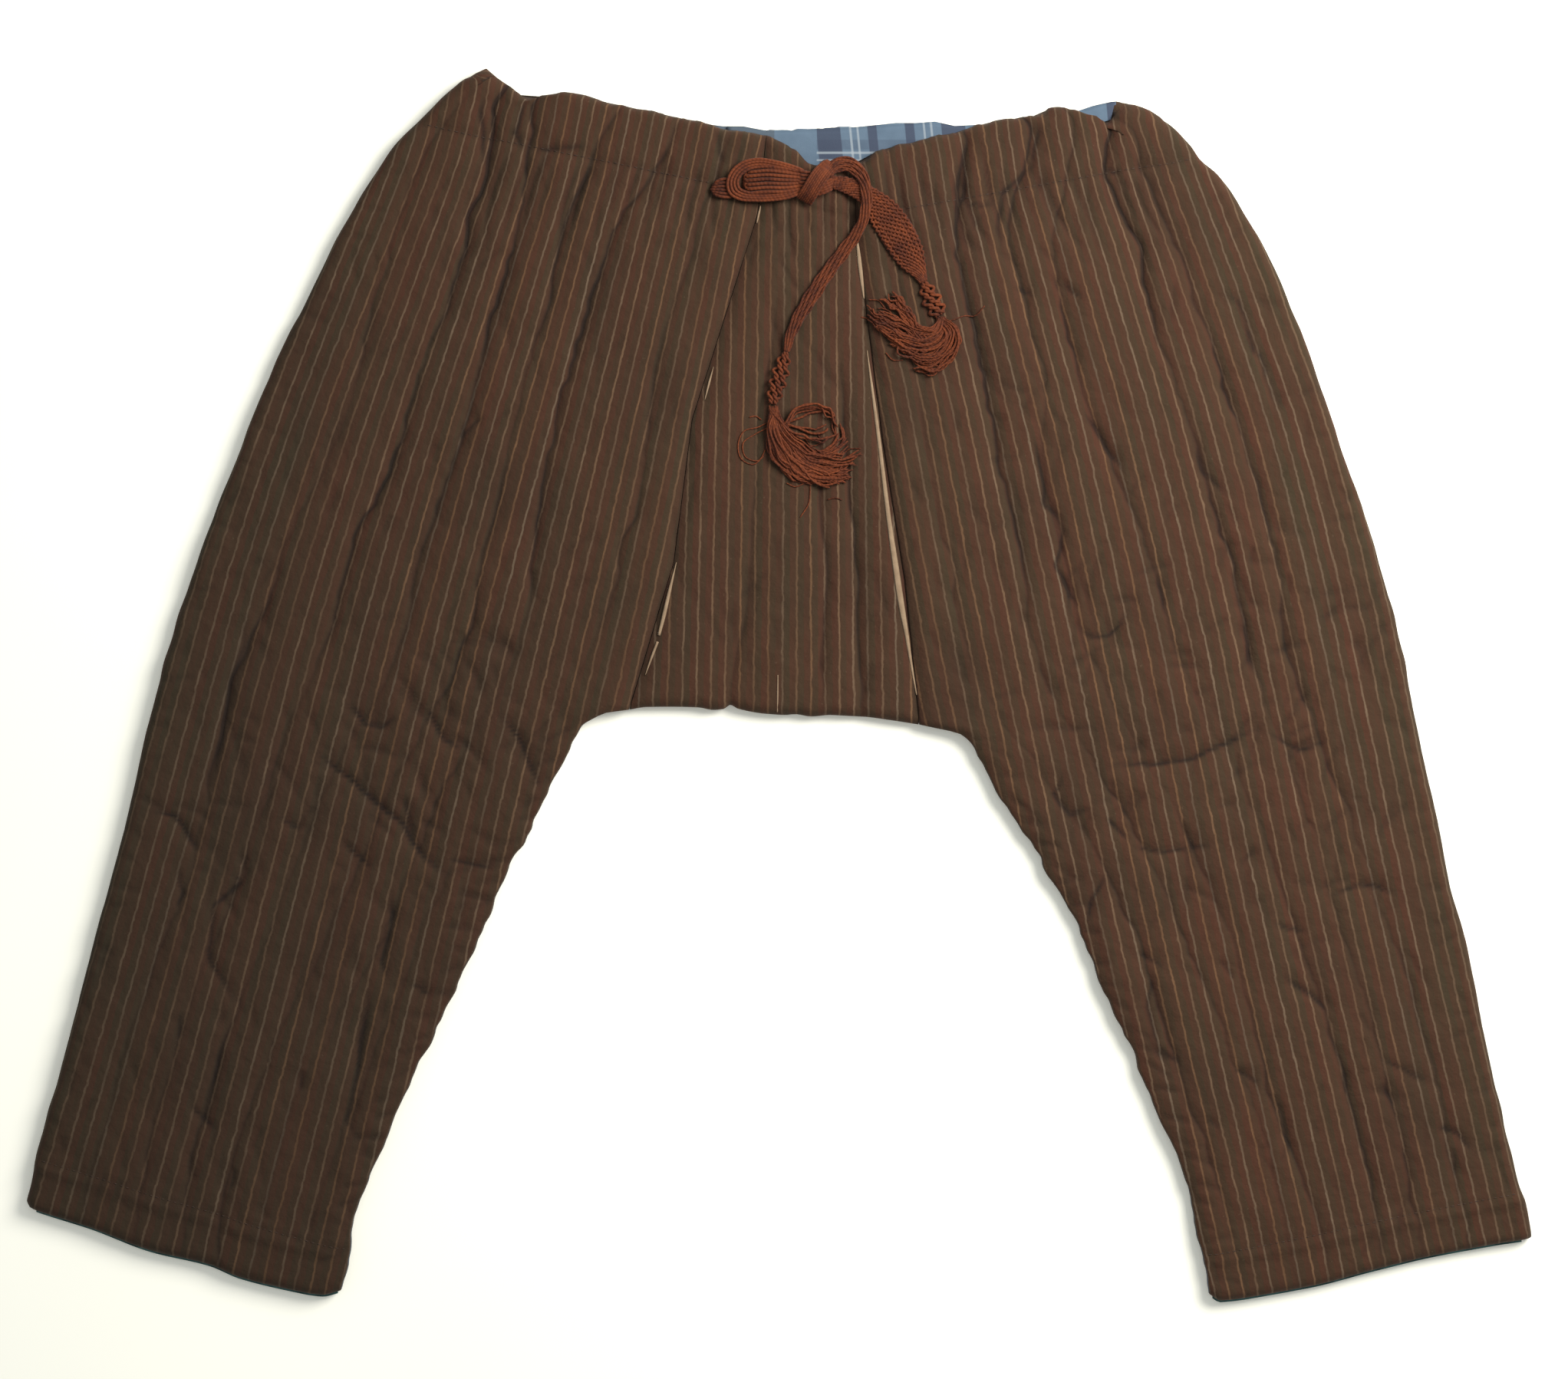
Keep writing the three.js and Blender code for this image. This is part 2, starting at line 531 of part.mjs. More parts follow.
// ---- Drawstring ---------------------------------------------------------------------------------
// Half bow at the middle of the front: the loop lies to the left of the knot, one end arches up and
// over to the right and runs down as a narrow tail, and the other runs out under it as a wide one.
// Each tail ends in a stretch of open netting and a tassel. Routes: [x, y, z, width].
const TAPE_THICK = 2.5;
const LOOP_THICK = 4.6;
const NET_THICK = 3.4;
const LOOP_ROUTE = [
  [18.4, 398.8, 21.8, 9], [10, 397.2, 21.8, 13], [-2, 396.6, 21.8, 15], [-14, 396.5, 21.8, 15],
  [-22.5, 396.7, 21.8, 15], [-28.9, 399.3, 21.8, 15], [-31.5, 405.7, 21.8, 15],
  [-28.9, 412.1, 21.8, 15], [-22.5, 414.7, 21.8, 15], [-14, 415, 21.8, 15],
  [-2, 414.8, 21.8, 15], [10, 413.2, 21.8, 12], [18.4, 411.8, 21.8, 9],
];
const TAIL_LEFT_ROUTE = [
  [40.1, 412, 24.1, 6], [43.2, 416.2, 23.7, 11.5], [49, 419.4, 23.3, 13.5], [57.5, 418.6, 23.2, 13.5],
  [64.8, 412.6, 23.7, 12.5], [69.2, 403.5, 24, 10.5], [70.6, 393.5, 24.2, 10], [69.6, 382, 24, 10],
  [66.4, 371, 22.6, 10], [59.8, 360, 20.4, 11], [51.2, 348.6, 19.2, 12], [41.2, 335.5, 18.8, 13],
  [31.5, 321.5, 18.8, 13], [22.5, 307.5, 18.8, 13], [14.5, 294, 18.8, 11.5],
  [9, 281, 18.8, 9], [5.6, 268.5, 18.8, 8.5],
];
const TAIL_RIGHT_ROUTE = [
  [38.2, 406, 21.4, 10], [47, 404.5, 21, 12], [58, 401.5, 20.9, 15], [69, 395.8, 20.9, 18],
  [79, 386.8, 20.7, 23], [88, 375.5, 20.2, 28], [96, 363, 19.9, 30], [103, 350.5, 19.7, 27],
  [109.2, 339.5, 19.6, 20], [113.8, 331, 19.6, 12], [116.6, 324.6, 19.6, 9.5],
];
const NET_LEFT_ROUTE = [
  [5.5, 268, 18.9, 9], [3, 257, 18.9, 13], [0, 246, 18.9, 13.5], [-3, 235.5, 18.9, 13.5],
  [-5.2, 226.6, 18.9, 11],
];
const NET_RIGHT_ROUTE = [
  [116.8, 324.1, 19.8, 10], [120.6, 315.5, 19.8, 14], [125, 306.5, 19.8, 15.5],
  [130, 298, 19.8, 13],
];
const KNOT = { centre: [28.2, 406, 24.2], half: [9.4, 13.4, 5.2] };
const LOOP_END = { centre: [-46.8, 399.5, 20.3], half: [8.4, 8, 2.4] };

// Guide strands of the tassels, in order round each fan: where a strand bends and where it ends.
const TASSEL_LEFT = {
  root: [-7, 217.1, 21.6],
  head: [8, 9, 4.6],
  count: 22,
  guides: [
    { bend: [-20, 196], tip: [-30, 184] }, { bend: [-14, 186], tip: [0, 168] },
    { bend: [-6, 174], tip: [24, 158] }, { bend: [4, 166], tip: [46, 163] },
    { bend: [12, 174], tip: [66, 172] }, { bend: [14, 184], tip: [62, 188] },
    { bend: [14, 196], tip: [44, 208] },
  ],
};
const TASSEL_RIGHT = {
  root: [133, 287.8, 22.6],
  head: [7, 8.5, 4.4],
  count: 24,
  guides: [
    { bend: [150, 276], tip: [132, 254] }, { bend: [140, 264], tip: [110, 258] },
    { bend: [128, 262], tip: [92, 266] }, { bend: [120, 272], tip: [80, 278] },
    { bend: [114, 282], tip: [67, 292] }, { bend: [116, 292], tip: [70, 314] },
    { bend: [120, 300], tip: [92, 312] },
  ],
};
const STRAND_RADIUS = 1.25;
const STRAND_LAYER = 3; // from one layer of strands to the next

// A flat tape along a route of [x, y, z, width].
function tape(name, route, thick) {
  const rings = route.map(([x, y, z, width], i) => {
    const before = route[Math.max(0, i - 1)];
    const after = route[Math.min(route.length - 1, i + 1)];
    const across = new THREE.Vector2(before[1] - after[1], after[0] - before[0]).normalize();
    return Array.from({ length: 8 }, (_, k) => {
      const turn = ((k + 0.5) * Math.PI) / 4;
      const side = (Math.sign(Math.cos(turn)) * Math.abs(Math.cos(turn)) ** 0.6 * width) / 2 / 0.954;
      const rise = (Math.sign(Math.sin(turn)) * Math.abs(Math.sin(turn)) ** 0.8 * thick) / 2 / 0.94;
      return new THREE.Vector3(x + across.x * side, y + across.y * side, z + rise);
    });
  });
  return throughRings(name, rustBraid(), rings, 4);
}

// A rounded lump with flattened sides.
function lump(centre, half) {
  const geometry = new THREE.SphereGeometry(1, 12, 7);
  const place = geometry.getAttribute("position");
  const p = new THREE.Vector3();
  for (let i = 0; i < place.count; i += 1) {
    p.fromBufferAttribute(place, i);
    const round = (v) => Math.sign(v) * Math.abs(v) ** 0.7;
    p.set(round(p.x) * half[0], round(p.y) * half[1], round(p.z) * half[2]);
    place.setXYZ(i, centre[0] + p.x, centre[1] + p.y, centre[2] + p.z);
  }
  return geometry;
}

function lumpMesh(name, { centre, half }) {
  const geometry = lump(centre, half);
  geometry.computeVertexNormals();
  const mesh = new THREE.Mesh(geometry, rustBraid());
  mesh.name = name;
  return mesh;
}

// A three-sided strand from the tassel's head along a curve to its tip.
function strand(root, { bend, tip }, z) {
  const curve = new THREE.QuadraticBezierCurve3(
    new THREE.Vector3(root[0], root[1], z),
    new THREE.Vector3(bend[0], bend[1], z),
    new THREE.Vector3(tip[0], tip[1], z),
  );
  const section = new THREE.Shape();
  section.moveTo(STRAND_RADIUS, 0);
  section.lineTo(-STRAND_RADIUS / 2, 0.87 * STRAND_RADIUS);
  section.lineTo(-STRAND_RADIUS / 2, -0.87 * STRAND_RADIUS);
  return new THREE.ExtrudeGeometry(section, { steps: 3, extrudePath: curve });
}

function asManifold(geometry) {
  const bare = geometry.index ? geometry.toNonIndexed() : geometry.clone();
  bare.deleteAttribute("normal");
  bare.deleteAttribute("uv");
  const merged = mergeVertices(bare, 1e-4);
  return new manifold.Manifold(new manifold.Mesh({
    numProp: 3,
    vertProperties: merged.getAttribute("position").array,
    triVerts: new Uint32Array(merged.index.array),
  }));
}

function tassel(name, { root, head, count, guides }) {
  let whole = asManifold(lump(root, head));
  const between = (a, b, s) => [mix(a[0], b[0], s), mix(a[1], b[1], s)];
  for (let i = 0; i < count; i += 1) {
    const along = (i / (count - 1)) * (guides.length - 1);
    const k = Math.min(guides.length - 2, Math.floor(along));
    const s = along - k;
    const guide = {
      bend: between(guides[k].bend, guides[k + 1].bend, s),
      tip: between(guides[k].tip, guides[k + 1].tip, s),
    };
    const layer = i % 2 === 0 ? -0.5 : 0.5;
    whole = whole.add(asManifold(strand(root, guide, root[2] - 1 + layer * STRAND_LAYER)));
  }
  const { vertProperties, triVerts } = whole.getMesh();
  const geometry = new THREE.BufferGeometry();
  geometry.setAttribute("position", new THREE.BufferAttribute(vertProperties, 3));
  geometry.setIndex(new THREE.BufferAttribute(triVerts, 1));
  geometry.computeVertexNormals();
  const mesh = new THREE.Mesh(geometry, rustBraid());
  mesh.name = name;
  return mesh;
}

// ---- Put together -------------------------------------------------------------------------------
const leftLeg = makeLeg({
  side: "left",
  innerTop: LEFT_TOP,
  inner: LEFT_INNER,
  outer: LEFT_OUTER,
  waist: LEFT_WAIST,
  backWaist: LEFT_BACK_WAIST,
  backTop: LEFT_BACK_TOP,
  hem: LEFT_HEM,
  folds: LEFT_FOLDS,
});
const rightLeg = makeLeg({
  side: "right",
  innerTop: RIGHT_TOP,
  inner: RIGHT_INNER,
  outer: RIGHT_OUTER,
  waist: RIGHT_WAIST,
  backWaist: RIGHT_BACK_WAIST,
  backTop: RIGHT_BACK_TOP,
  hem: RIGHT_HEM,
  folds: RIGHT_FOLDS,
});
const gusset = makeGusset(leftLeg, rightLeg);

const trousers = new THREE.Group();
trousers.add(legSolid("leg_left", leftLeg, [0.3, 0.6, 0.72, 0.855]));
trousers.add(legSolid("leg_right", rightLeg, [0.4, 0.72, 0.84, 0.9]));
trousers.add(gussetSolid(gusset));
trousers.add(waistLining(leftLeg, gusset, rightLeg));
trousers.add(hemLining("lining_hem_left", leftLeg));
trousers.add(hemLining("lining_hem_right", rightLeg));
trousers.add(lumpMesh("drawstring_knot", KNOT));
trousers.add(tape("drawstring_loop", LOOP_ROUTE, LOOP_THICK));
trousers.add(lumpMesh("drawstring_loop_end", LOOP_END));
trousers.add(tape("drawstring_tail_left", TAIL_LEFT_ROUTE, TAPE_THICK));
trousers.add(tape("drawstring_tail_right", TAIL_RIGHT_ROUTE, TAPE_THICK));
trousers.add(tape("drawstring_net_left", NET_LEFT_ROUTE, NET_THICK));
trousers.add(tape("drawstring_net_right", NET_RIGHT_ROUTE, NET_THICK));
trousers.add(tassel("tassel_left", TASSEL_LEFT));
trousers.add(tassel("tassel_right", TASSEL_RIGHT));

export default trousers;
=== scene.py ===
# %% [markdown]
# # Padded trousers with a drawstring, laid flat
# Low-crotch trousers of brown striped cotton with wadding, lying on the floor with the front up.
# Each leg is one length of cloth folded at its outer side, and a trapezoid gusset, folded at the
# crotch, joins the two. A flat braided drawstring gathers the waist and is tied in a half bow.
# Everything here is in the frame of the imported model: metres, +Z up, waist towards +Y.

# %% Load the frame
import math

import bpy
import numpy as np
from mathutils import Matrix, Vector
from mathutils.bvhtree import BVHTree


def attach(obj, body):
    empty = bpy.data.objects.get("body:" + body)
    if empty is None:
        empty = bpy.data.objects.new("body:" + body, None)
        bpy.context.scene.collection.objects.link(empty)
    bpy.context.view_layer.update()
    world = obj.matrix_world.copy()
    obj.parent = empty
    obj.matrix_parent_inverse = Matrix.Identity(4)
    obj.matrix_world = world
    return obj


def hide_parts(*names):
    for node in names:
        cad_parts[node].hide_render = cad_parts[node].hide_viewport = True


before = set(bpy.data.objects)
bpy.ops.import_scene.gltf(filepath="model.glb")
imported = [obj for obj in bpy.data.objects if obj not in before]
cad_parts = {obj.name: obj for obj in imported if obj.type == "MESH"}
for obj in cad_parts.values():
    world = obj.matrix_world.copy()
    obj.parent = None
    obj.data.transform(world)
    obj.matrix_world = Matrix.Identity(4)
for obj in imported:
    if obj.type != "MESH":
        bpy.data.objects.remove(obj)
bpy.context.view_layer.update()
MM = 0.001

# %% [markdown]
# ## Camera
# The trousers are seen from straight above. A long lens keeps the perspective weak, as from the top
# of a ladder, and the distance follows from how wide a stretch of floor shows.

# %% Camera
VIEW_WIDTH = 1.2673  # metres of floor across the picture, at the height of the cloth
VIEW_CENTRE = (0.004, -0.0037)
CLOTH_TOP = 0.012  # metres above the floor
LENS, SENSOR = 85.0, 36.0  # millimetres

camera_data = bpy.data.cameras.new("camera")
camera_data.lens = LENS
camera_data.sensor_width = SENSOR
camera_data.clip_end = 20.0
camera = bpy.data.objects.new("camera", camera_data)
camera.location = (*VIEW_CENTRE, CLOTH_TOP + VIEW_WIDTH * LENS / SENSOR)
bpy.context.scene.collection.objects.link(camera)
bpy.context.scene.camera = camera

# %% [markdown]
# ## Helpers for shapes
# Every large piece is a grid of points worked out with numpy. The edges of the cut are short tables
# that a monotone cubic joins, so that a curve never swings past the points that were given.

# %% Curves, noise and valleys
def distances(points):
    """How far along a line of points each of them lies."""
    return np.concatenate([[0], np.cumsum(np.linalg.norm(np.diff(points, axis=0), axis=1))])


def cubic(x, y, slope, v):
    """Values at v of the cubic pieces that join the points (x, y) with the given slopes."""
    i = np.clip(np.searchsorted(x, v, side="right") - 1, 0, len(x) - 2)
    h = x[i + 1] - x[i]
    s = (v - x[i]) / h
    first = (1 + 2 * s) * (1 - s) ** 2 * y[i] + s * (1 - s) ** 2 * h * slope[i]
    return first + s * s * (3 - 2 * s) * y[i + 1] + s * s * (s - 1) * h * slope[i + 1]


def smooth_curve(pairs):
    """A curve through (x, y) pairs that never swings past them, for arrays of x."""
    table = np.array(sorted(pairs), float)
    x, y = table[:, 0], table[:, 1]
    rise = np.diff(y) / np.diff(x)
    before, after = rise[:-1], rise[1:]
    turning = before * after <= 0
    safe_before, safe_after = np.where(turning, 1, before), np.where(turning, 1, after)
    middle = np.where(turning, 0, 2 / (1 / safe_before + 1 / safe_after))
    slope = np.concatenate([rise[:1], middle, rise[-1:]])
    return lambda v: cubic(x, y, slope, np.clip(v, x[0], x[-1]))


def curve_through(points, count, at=None):
    """Equal steps along a smooth curve through hand-set points of any dimension."""
    points = np.array(points, float)
    at = distances(points) if at is None else at
    steps = np.linspace(0, at[-1], count)
    return np.stack([cubic(at, row, np.gradient(row, at), steps) for row in points.T], 1)


def resample(route, step):
    """Points of a route, a list of x, y, z and width, at equal steps along a smooth curve."""
    route = np.array(route, float)
    at = distances(route[:, :3])
    return curve_through(route, max(3, int(round(at[-1] / step)) + 1), at)


def value_noise(x, y, size, seed):
    """Smooth random hills from -1 to 1, about `size` across."""
    lattice = np.random.default_rng(seed).uniform(-1, 1, (64, 64))
    gx, gy = x / size, y / size
    ix, iy = np.floor(gx).astype(int), np.floor(gy).astype(int)
    sx, sy = gx - ix, gy - iy
    sx, sy = sx * sx * (3 - 2 * sx), sy * sy * (3 - 2 * sy)

    def corner(dx, dy):
        return lattice[(ix + dx) % 64, (iy + dy) % 64]

    low = corner(0, 0) * (1 - sx) + corner(1, 0) * sx
    high = corner(0, 1) * (1 - sx) + corner(1, 1) * sx
    return low * (1 - sy) + high * sy


def line_noise(v, size, seed):
    """The same hills along one line."""
    return value_noise(v, 0 * v, size, seed)


def relief(x, y, *heights):
    """Unevenness of the wadding: hills of three sizes, each with its height in mm."""
    hills = [(48, 7), (19, 8), (8, 9)]
    return sum(height * value_noise(x, y, size, seed) for height, (size, seed) in zip(heights, hills))


def bell(distance, reach):
    return np.exp(-((distance / reach) ** 2))


def valley(distance, reach, bottom=0.8):
    """Depth, from 1 to 0, of a crease between two rounded puffs, at a distance from its line."""
    return np.exp(-(np.sqrt(distance**2 + bottom**2) - bottom) / reach)


def clamp01(v):
    return np.clip(v, 0, 1)


def smooth_step(v):
    v = clamp01(v)
    return v * v * (3 - 2 * v)


def near_box(x, y, points, margin):
    """Which places of a grid lie within a margin of the box round some points."""
    low, high = np.min(points, 0) - margin, np.max(points, 0) + margin
    return np.nonzero((x > low[0]) & (x < high[0]) & (y > low[1]) & (y < high[1]))


def to_polyline(x, y, points):
    """Distance of each (x, y) from a polyline, and how far along it the nearest point is, 0 to 1."""
    points = np.array(points, float)
    starts = distances(points)
    lengths = np.linalg.norm(np.diff(points, axis=0), axis=1)
    nearest = np.full(np.shape(x), np.inf)
    along = np.zeros(np.shape(x))
    for a, b, length, start in zip(points[:-1], points[1:], lengths, starts):
        share = clamp01(((x - a[0]) * (b[0] - a[0]) + (y - a[1]) * (b[1] - a[1])) / length**2)
        distance = np.hypot(x - a[0] - share * (b[0] - a[0]), y - a[1] - share * (b[1] - a[1]))
        closer = distance < nearest
        nearest = np.where(closer, distance, nearest)
        along = np.where(closer, (start + share * length) / starts[-1], along)
    return nearest, along


# %% Meshes from rings of points
def add_object(name, data):
    obj = bpy.data.objects.new(name, data)
    bpy.context.scene.collection.objects.link(obj)
    return obj


def smooth_mesh(name, points, faces):
    """A mesh through points in mm, shaded smooth."""
    mesh = bpy.data.meshes.new(name)
    mesh.from_pydata((np.asarray(points, float) * MM).tolist(), [], faces)
    mesh.polygons.foreach_set("use_smooth", np.ones(len(mesh.polygons), bool))
    return mesh


def store_uv(mesh, name, uv):
    layer = mesh.uv_layers.new(name=name)
    layer.data.foreach_set("uv", np.asarray(uv, np.float32).ravel())


def store_value(mesh, name, values):
    layer = mesh.attributes.new(name, "FLOAT", "POINT")
    layer.data.foreach_set("value", np.asarray(values, np.float32).ravel())


def across_ring(ring, outer):
    """Triangles between the two sides of a ring, by the shorter of the next two diagonals."""
    faces = []
    i, j = 0, len(ring) - 1
    while i < outer - 1 or j > outer:
        step = np.sum((ring[i + 1] - ring[j]) ** 2) if i < outer - 1 else np.inf
        back = np.sum((ring[i] - ring[j - 1]) ** 2) if j > outer else np.inf
        if step <= back:
            faces.append((i, i + 1, j))
            i += 1
        else:
            faces.append((i, j - 1, j))
            j -= 1
    return faces


def ring_mesh(name, rings, outer, uv=None, crease_shade=None):
    """A closed mesh through rings of points in mm, shaped (rings, size, 3). The first `outer` points
    of a ring are one side of a wall and the rest are the other side. Where there is a UV map, that
    other side takes the second material."""
    count, size = rings.shape[:2]
    start = np.arange(count - 1)[:, None] * size
    here = np.arange(size)[None, :]
    after = (here + 1) % size
    quads = np.stack([start + here, start + after, start + size + after, start + size + here], -1)
    quads = quads.reshape(-1, 4)
    last = (count - 1) * size
    caps = [(a, c, b) for a, b, c in across_ring(rings[0], outer)]
    caps += [(last + a, last + b, last + c) for a, b, c in across_ring(rings[-1], outer)]
    points = rings.reshape(-1, 3)
    a, b, c, d = (points[quads[:, k]] for k in range(4))
    volume = np.sum(a * np.cross(b, c)) + np.sum(a * np.cross(c, d))
    if volume < 0:
        quads = quads[:, ::-1]
        caps = [f[::-1] for f in caps]
    mesh = smooth_mesh(name, points, quads.tolist() + caps)
    if uv is not None:
        corners = np.zeros(len(mesh.loops), np.int32)
        mesh.loops.foreach_get("vertex_index", corners)
        store_uv(mesh, "cloth", uv.reshape(-1, 2)[corners])
        # The painted shade of the crease bottoms goes into a stored value.
        store_value(mesh, "crease_shade", crease_shade)
        lowest = np.min(quads % size, axis=1)
        highest = np.max(quads % size, axis=1)
        inner = (lowest >= outer) & (highest < size - 1)
        index = np.zeros(len(mesh.polygons), np.int32)
        index[: len(quads)] = inner
        mesh.polygons.foreach_set("material_index", index)
    mesh.update()
    return add_object(name, mesh)


UV_APART = 7.31  # each strand's UV map starts this far, in mm, beyond the last one's


def tube_points(line, radius, sides, high=None):
    """Rings round a line of points: (points, sides, 3). The radius may be one number or one a
    point, and `high` is half the thickness of a ribbon."""
    line = np.asarray(line, float)
    ahead = np.gradient(line, axis=0)
    ahead /= np.maximum(np.linalg.norm(ahead, axis=1, keepdims=True), 1e-9)
    side = np.cross(ahead, (0, 0, 1))
    side /= np.maximum(np.linalg.norm(side, axis=1, keepdims=True), 1e-6)
    rise = np.cross(side, ahead)
    turn = (np.arange(sides) * 2 * np.pi / sides)[None, :, None]
    wide = np.broadcast_to(radius, (len(line),))[:, None, None]
    high = wide if high is None else np.minimum(wide, high)
    return line[:, None] + side[:, None] * np.cos(turn) * wide + rise[:, None] * np.sin(turn) * high


def strands_mesh(name, strands, seed, sides=6):
    """One mesh of many tubes. A strand is a line of points in mm, its radius and, for a ribbon,
    half its thickness. The UV map runs round the strand and, in mm, along it. Each strand has a
    tone of its own."""
    rng = np.random.default_rng(seed)
    points, faces, uvs, tones = [], [], [], []
    base = 0
    for number, (line, radius, *high) in enumerate(strands):
        rings = tube_points(line, radius, sides, *high)
        along = distances(np.asarray(line, float)) + UV_APART * number
        points.append(rings.reshape(-1, 3))
        tones.append(np.full(len(line) * sides, rng.uniform(0.15, 1)))
        for r in range(len(line) - 1):
            a, b = base + r * sides, base + (r + 1) * sides
            for i in range(sides):
                k = (i + 1) % sides
                faces.append((a + i, a + k, b + k, b + i))
                u0, u1 = i / sides, (i + 1) / sides
                uvs += [(u0, along[r]), (u1, along[r]), (u1, along[r + 1]), (u0, along[r + 1])]
        end = base + (len(line) - 1) * sides
        faces.append(tuple(range(base + sides - 1, base - 1, -1)))
        faces.append(tuple(range(end, end + sides)))
        uvs += [(0, 0)] * (2 * sides)
        base += len(line) * sides
    mesh = smooth_mesh(name, np.concatenate(points), faces)
    store_uv(mesh, "yarn", uvs)
    store_value(mesh, "tone", np.concatenate(tones))
    mesh.update()
    return add_object(name, mesh)


# %% [markdown]
# ## The routes of the drawstring
# The camera and the cords come first, because the cloth has to make room for the cord that lies on
# it. A route is a list of given points: x, y, height of the middle and width, in mm.

# %% Drawstring routes
TAIL_NARROW = [
    (38.5, 410.5, 24.1, 9.5), (42.8, 416.1, 23.7, 12), (49, 419.4, 23.3, 13.5),
    (57.5, 418.6, 23.2, 13.5), (64.8, 412.6, 23.7, 12.5), (69.2, 403.5, 24, 10.5),
    (70.6, 393.5, 24.2, 10), (69.6, 382, 24, 10), (66.4, 371, 22.6, 10), (59.8, 360, 20.4, 11),
    (51.2, 348.6, 19.2, 12), (41.2, 335.5, 18.8, 13), (31.5, 321.5, 18.8, 13),
    (22.5, 307.5, 18.8, 13), (14.5, 294, 18.8, 11.5), (9, 281, 18.8, 9), (5.6, 268.5, 18.8, 6),
]
NET_NARROW = [
    (5.6, 268.5, 18.8, 6), (3.2, 259, 18.9, 11), (0.5, 249, 18.9, 13), (-2.5, 238, 18.9, 13),
    (-5.2, 226.6, 18.9, 9.5),
]
TAIL_WIDE = [
    (38.2, 406, 21.4, 10), (47, 404.5, 21, 12), (58, 401.5, 20.9, 15), (69, 395.8, 20.9, 18),
    (79, 386.8, 20.7, 23), (88, 375.5, 20.2, 28), (96, 363, 19.9, 30), (103, 350.5, 19.7, 27),
    (109.2, 339.5, 19.6, 20), (113.8, 331, 19.6, 12), (116.6, 324.6, 19.6, 8),
]
NET_WIDE = [
    (116.6, 324.6, 19.6, 8), (120.6, 315.5, 19.8, 13), (125, 306.5, 19.8, 15),
    (130, 298, 19.8, 12),
]
LOOP = [
    (18.4, 398.8, 21.8, 9), (10, 397.2, 21.8, 13), (-2, 396.6, 21.8, 15), (-14, 396.5, 21.8, 15),
    (-22.5, 396.7, 21.8, 15), (-28.9, 399.3, 21.8, 15), (-31.5, 405.7, 21.8, 15),
    (-28.9, 412.1, 21.8, 15), (-22.5, 414.7, 21.8, 15), (-14, 415, 21.8, 15),
    (-2, 414.8, 21.8, 15), (10, 413.2, 21.8, 12), (18.4, 411.8, 21.8, 9),
]
CORD_ROUTES = [TAIL_NARROW, NET_NARROW, TAIL_WIDE, NET_WIDE, LOOP]
TAPE_HALF = 1.6  # half the braid's thickness
CORD_CLEAR = 0.5  # gap between the braid and the cloth under it

# %% [markdown]
# ## The cut of the trousers
# These tables are the garment's own sizes, in mm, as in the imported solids: the two gusset seams,
# the inner and outer edges of each leg, the waves of the waist and hems, and the long folds.

# %% Sizes of the cloth
LEG_LENGTH = 936.0
BACK_WALL, FRONT_WALL, GUSSET_WALL, LINING_WALL = 5.0, 13.0, 11.5, 1.4
LEAST_WALL, EDGE_WALL = 3.2, 1.2  # wall in the deepest crease, and at a turned edge
HEM_WALL = 8  # below the row of stitches of a hem, where the cloth is pressed nearly flat
FIRMEST = 8.5  # the deepest that creases press together
LAYER_GAP = 0.3
OVER_BACK = BACK_WALL + LAYER_GAP
OVER_LINING = OVER_BACK + LINING_WALL + LAYER_GAP
SEAM_GAP = 0.06
SIDE_ROUND, EDGE_ROUND, TURN_ROUND = 9.0, 3.0, 7.0  # at the fold, the seam, and the waist and hem
LINING_SHOWS = 2.0  # below the edge of each hem
STITCH_DEPTH = 2.0
STRIPE_PITCH = 11.8
GUSSET_TOP = 440
GUSSET_PITCH, GUSSET_SPREAD = 10.2, 0.0003  # stripes lie further apart down the gusset

# Places down a leg, as shares of its length. The first rows of the mesh lie close together.
CASING_AT, HEM_AT, CROTCH_AT = 0.05, 0.962, 0.4957
WAIST_REACH, HEM_REACH = 0.068, 0.08
FIRST_ROWS = [0, 0.0012, 0.003, 0.0055]
LAST_ROWS = [0.9945, 0.997, 0.9988, 1]
BODY_ROWS = (0.0085, 0.9915)
LEG_ROWS, GUSSET_ROWS = 352, 176
LEG_COLUMNS, GUSSET_COLUMNS = 27, 25  # mesh lines from fold to fold
SEAM_FALL, GUSSET_SEAM_FALL = 5, 3.5  # how far the cloth falls to the gusset seams, in mm

SEAM_AT = [0, 0.068, 0.2447, 0.3686, CROTCH_AT]
LEFT_SEAM = [-10, -17, -70, -85, -121]
RIGHT_SEAM = [60, 63, 83, 101, 113]
LEFT_INNER_ENDS, RIGHT_INNER_ENDS = (444, -492), (423, -495)
LEFT_BACK_LIFT, RIGHT_BACK_LIFT = 5, 29.5  # the back waist above the front one, at each seam

LEFT_INNER = [
    (-20, -121), (-22, -138), (-27, -150), (-33, -160), (-46, -166), (-71, -179), (-95, -191),
    (-120, -202), (-145, -217), (-182, -233), (-257, -267), (-306, -291), (-356, -313),
    (-405, -334), (-430, -343), (-467, -349), (-492, -354),
]
LEFT_OUTER = [
    (500, -237), (484, -262), (460, -287), (435, -312), (401, -335), (363, -357), (326, -375),
    (252, -411), (177, -441), (103, -470), (29, -494), (-46, -514), (-120, -530), (-182, -547),
    (-257, -567), (-331, -587), (-368, -598), (-405, -606), (-415, -609),
]
RIGHT_INNER = [
    (-32, 113), (-34, 122), (-40, 147), (-54, 160), (-78, 172), (-98, 184), (-133, 208),
    (-157, 220), (-182, 236), (-206, 246), (-257, 267), (-281, 279), (-331, 300), (-381, 322),
    (-405, 331), (-455, 341), (-495, 349),
]
